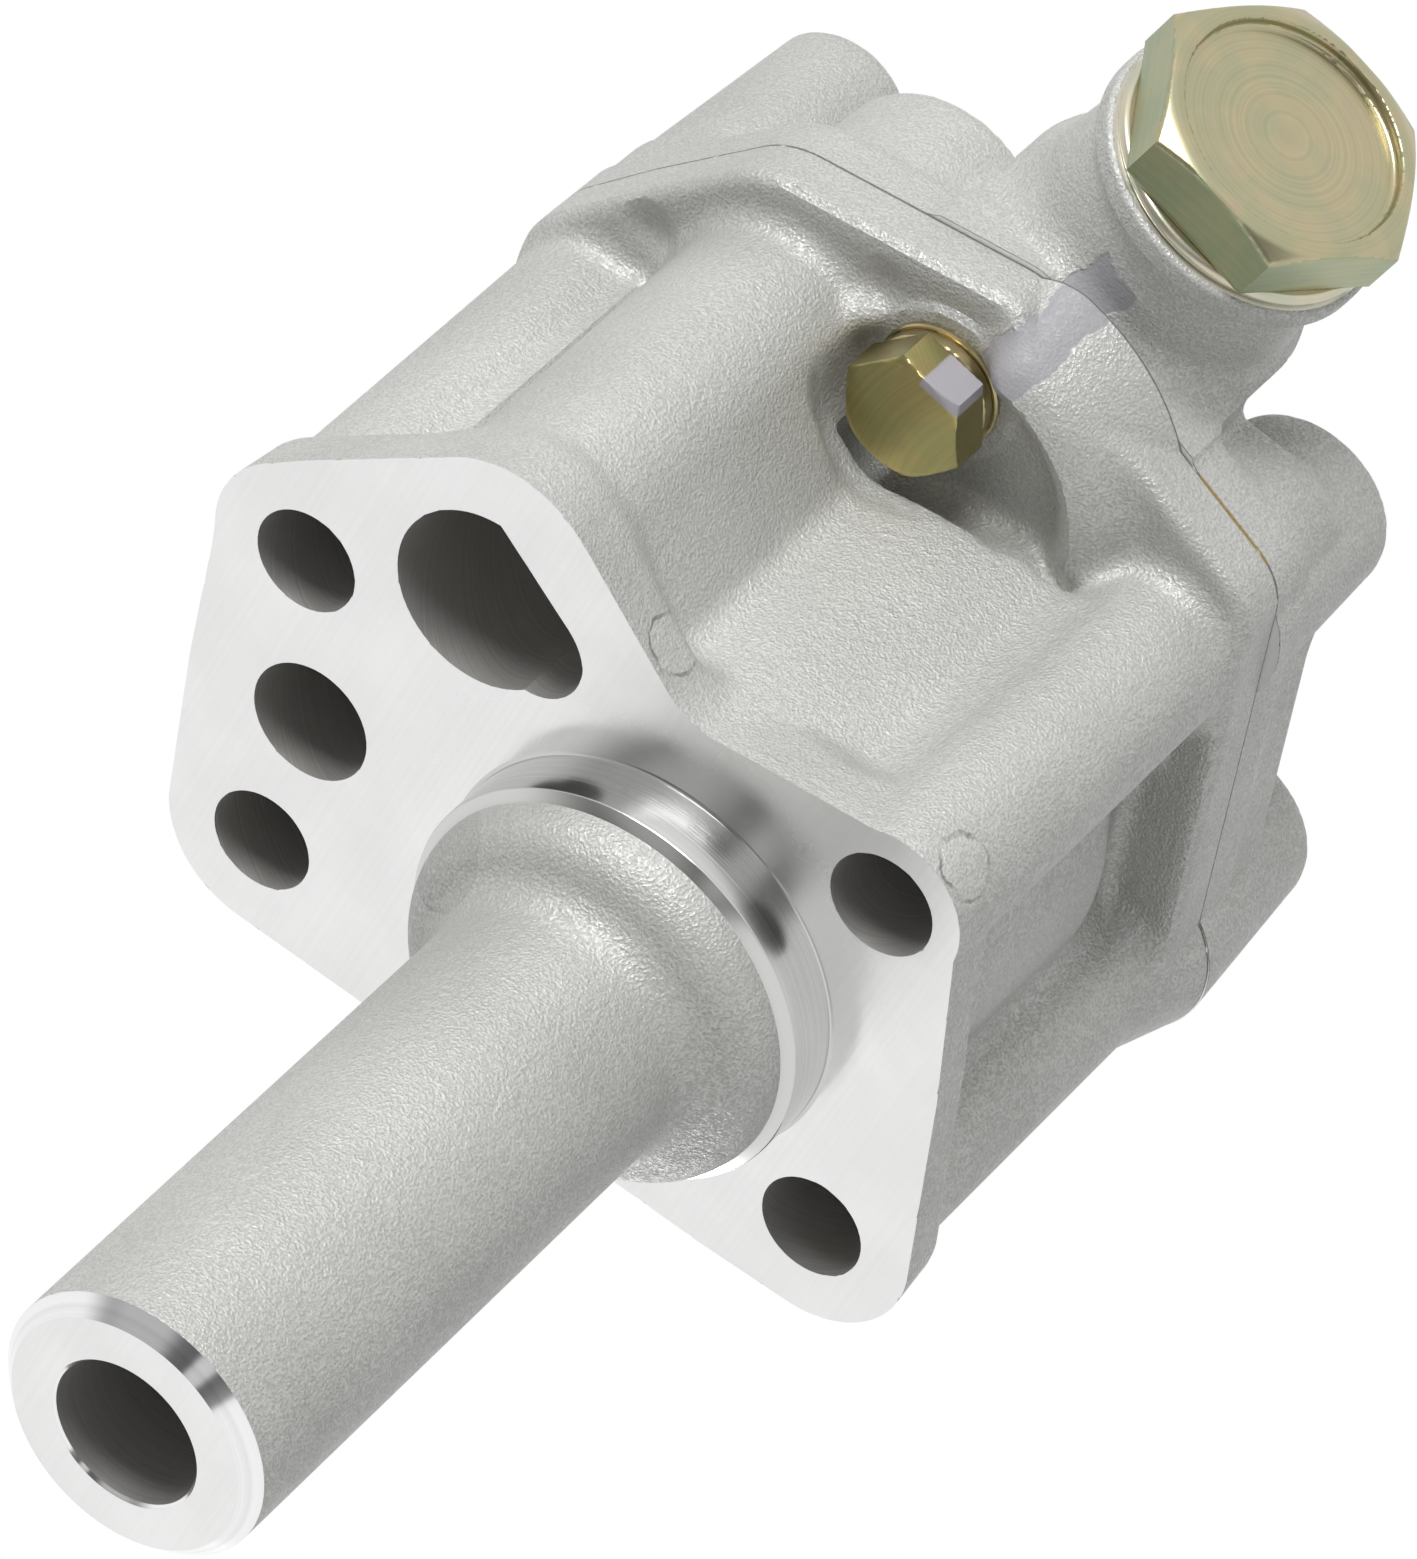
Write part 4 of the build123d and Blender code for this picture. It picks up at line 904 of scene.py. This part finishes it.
vertices, faces = skin(split_washer_shape, (bolt_x - 5.6, bolt_y - 5.6, -38.4),
                       (bolt_x + 5.6, bolt_y + 5.6, -36.3), 0.2)
split_washer = add_mesh("split_washer", vertices, faces, [washer_zinc])
flat = np.array([(washer_inner, -38.5), (5.3, -38.5), (5.4, -38.42), (5.4, -38.15), (5.25, -38.0),
                 (washer_inner, -38.0)])
vertices, faces, row = revolve(flat, 96)
flat_washer = add_mesh("flat_washer", vertices + (bolt_x, bolt_y, 0), faces, [washer_zinc])
for washer, node in ((split_washer, "bolt_spring_washer"), (flat_washer, "bolt_plain_washer")):
    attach(washer, "housing")
    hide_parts(node)


# Inside the pump
# The rotors are pressed and sintered steel, the shaft, pins and piston are ground, the spring is
# drawn wire and the bushes are bronze. These pieces show through the bores, so they keep the
# shape of their solids and get their real metals.
sintered = plain_steel("sintered_steel", (0.34, 0.34, 0.35), 0.42, 3000.0, 0.00001)
ground = turned("ground_steel", (0.6, 0.6, 0.61), 0.2, 0.0002, 0.000004)
piston_steel = plain_steel("hardened_steel", (0.5, 0.5, 0.52), 0.25, 1500.0, 0.000005)
spring_wire = plain_steel("spring_wire", (0.32, 0.3, 0.28), 0.3, 2000.0, 0.000008)
bronze = turned("bronze", (0.72, 0.5, 0.26), 0.32, 0.0003, 0.000008)
metal_of = {"drive_shaft": ground, "rotor_drive_pin": ground, "cover_dowel_pins": ground,
            "inner_rotor": sintered, "outer_rotor": sintered, "body_shaft_bush": bronze,
            "cover_shaft_bush": bronze, "relief_valve_piston": piston_steel, "spring_shim": piston_steel,
            "relief_valve_spring": spring_wire, "bolt_spring_washer": washer_zinc,
            "bolt_plain_washer": washer_zinc, "plug_sealing_washer": crush_zinc,
            "pump_body": cast_metal, "pump_cover": cast_metal, "relief_valve_plug": plug_turned,
            "cover_bolt": bolt_zinc}
for name, metal in metal_of.items():
    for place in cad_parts[name].material_slots:
        place.material = metal


# Relief valve spring
# A coil of drawn wire, closed at both ends, presses the piston on its seat. Its one end stands on
# the shim in the plug and the other in the piston; the real spring shortens as the valve opens, but this
# one is built at one length.
spring_from, spring_to, coil_radius, wire_radius = 10.0, 41.8, 3.8, 0.75
coil_turns, rings, sides, valve_travel = 8, 385, 16, 9.0
turns = np.linspace(0, coil_turns, rings)
from_end = np.clip((np.minimum(turns, coil_turns - turns) - 0.7) / 0.6, 0, 1)
opened = from_end ** 2 * (3 - 2 * from_end)
closed_pitch, turn_step = 2.07 * wire_radius, turns[1]
open_length = spring_to - spring_from - 2 * wire_radius - coil_turns * closed_pitch
climb = closed_pitch + opened * open_length / (opened[1:].sum() * turn_step)
height = spring_from + wire_radius + np.concatenate([[0], np.cumsum(climb[1:] * turn_step)])
# The wire is a circle carried along the coil, square to it: out from the axis, and up.
angle = 2 * math.pi * turns
outward = np.stack([0 * angle, np.cos(angle), np.sin(angle)], axis=-1)
onward = np.stack([climb, -2 * math.pi * coil_radius * np.sin(angle),
                   2 * math.pi * coil_radius * np.cos(angle)], axis=-1)
onward /= np.linalg.norm(onward, axis=1, keepdims=True)
upward = np.cross(onward, outward)
section = np.linspace(0, 2 * math.pi, sides, endpoint=False)[None, :, None]
wire = wire_radius * (np.cos(section) * outward[:, None] + np.sin(section) * upward[:, None])
wire[[0, -1]] *= 0.75
wire += coil_radius * outward[:, None] + np.stack([height, 0 * height, 0 * height], axis=-1)[:, None]
ring, around = np.meshgrid(np.arange(rings - 1) * sides, np.arange(sides), indexing="ij")
beside = (around + 1) % sides
faces = np.stack([ring + around, ring + beside, ring + sides + beside, ring + sides + around],
                 axis=-1).reshape(-1, 4).tolist()
faces += [list(range(sides - 1, -1, -1)), list(range((rings - 1) * sides, rings * sides))]
vertices = from_valve(*wire.reshape(-1, 3).T)
spring = bpy.data.objects.new("coil_spring", bpy.data.meshes.new("coil_spring"))
scene.collection.objects.link(spring)
spring.data.from_pydata((vertices * MM).tolist(), [], faces)
spring.data.materials.append(spring_wire)
spring.data.polygons.foreach_set("use_smooth", np.ones(len(faces), dtype=bool))
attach(spring, "housing")
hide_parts("relief_valve_spring")
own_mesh(spring)
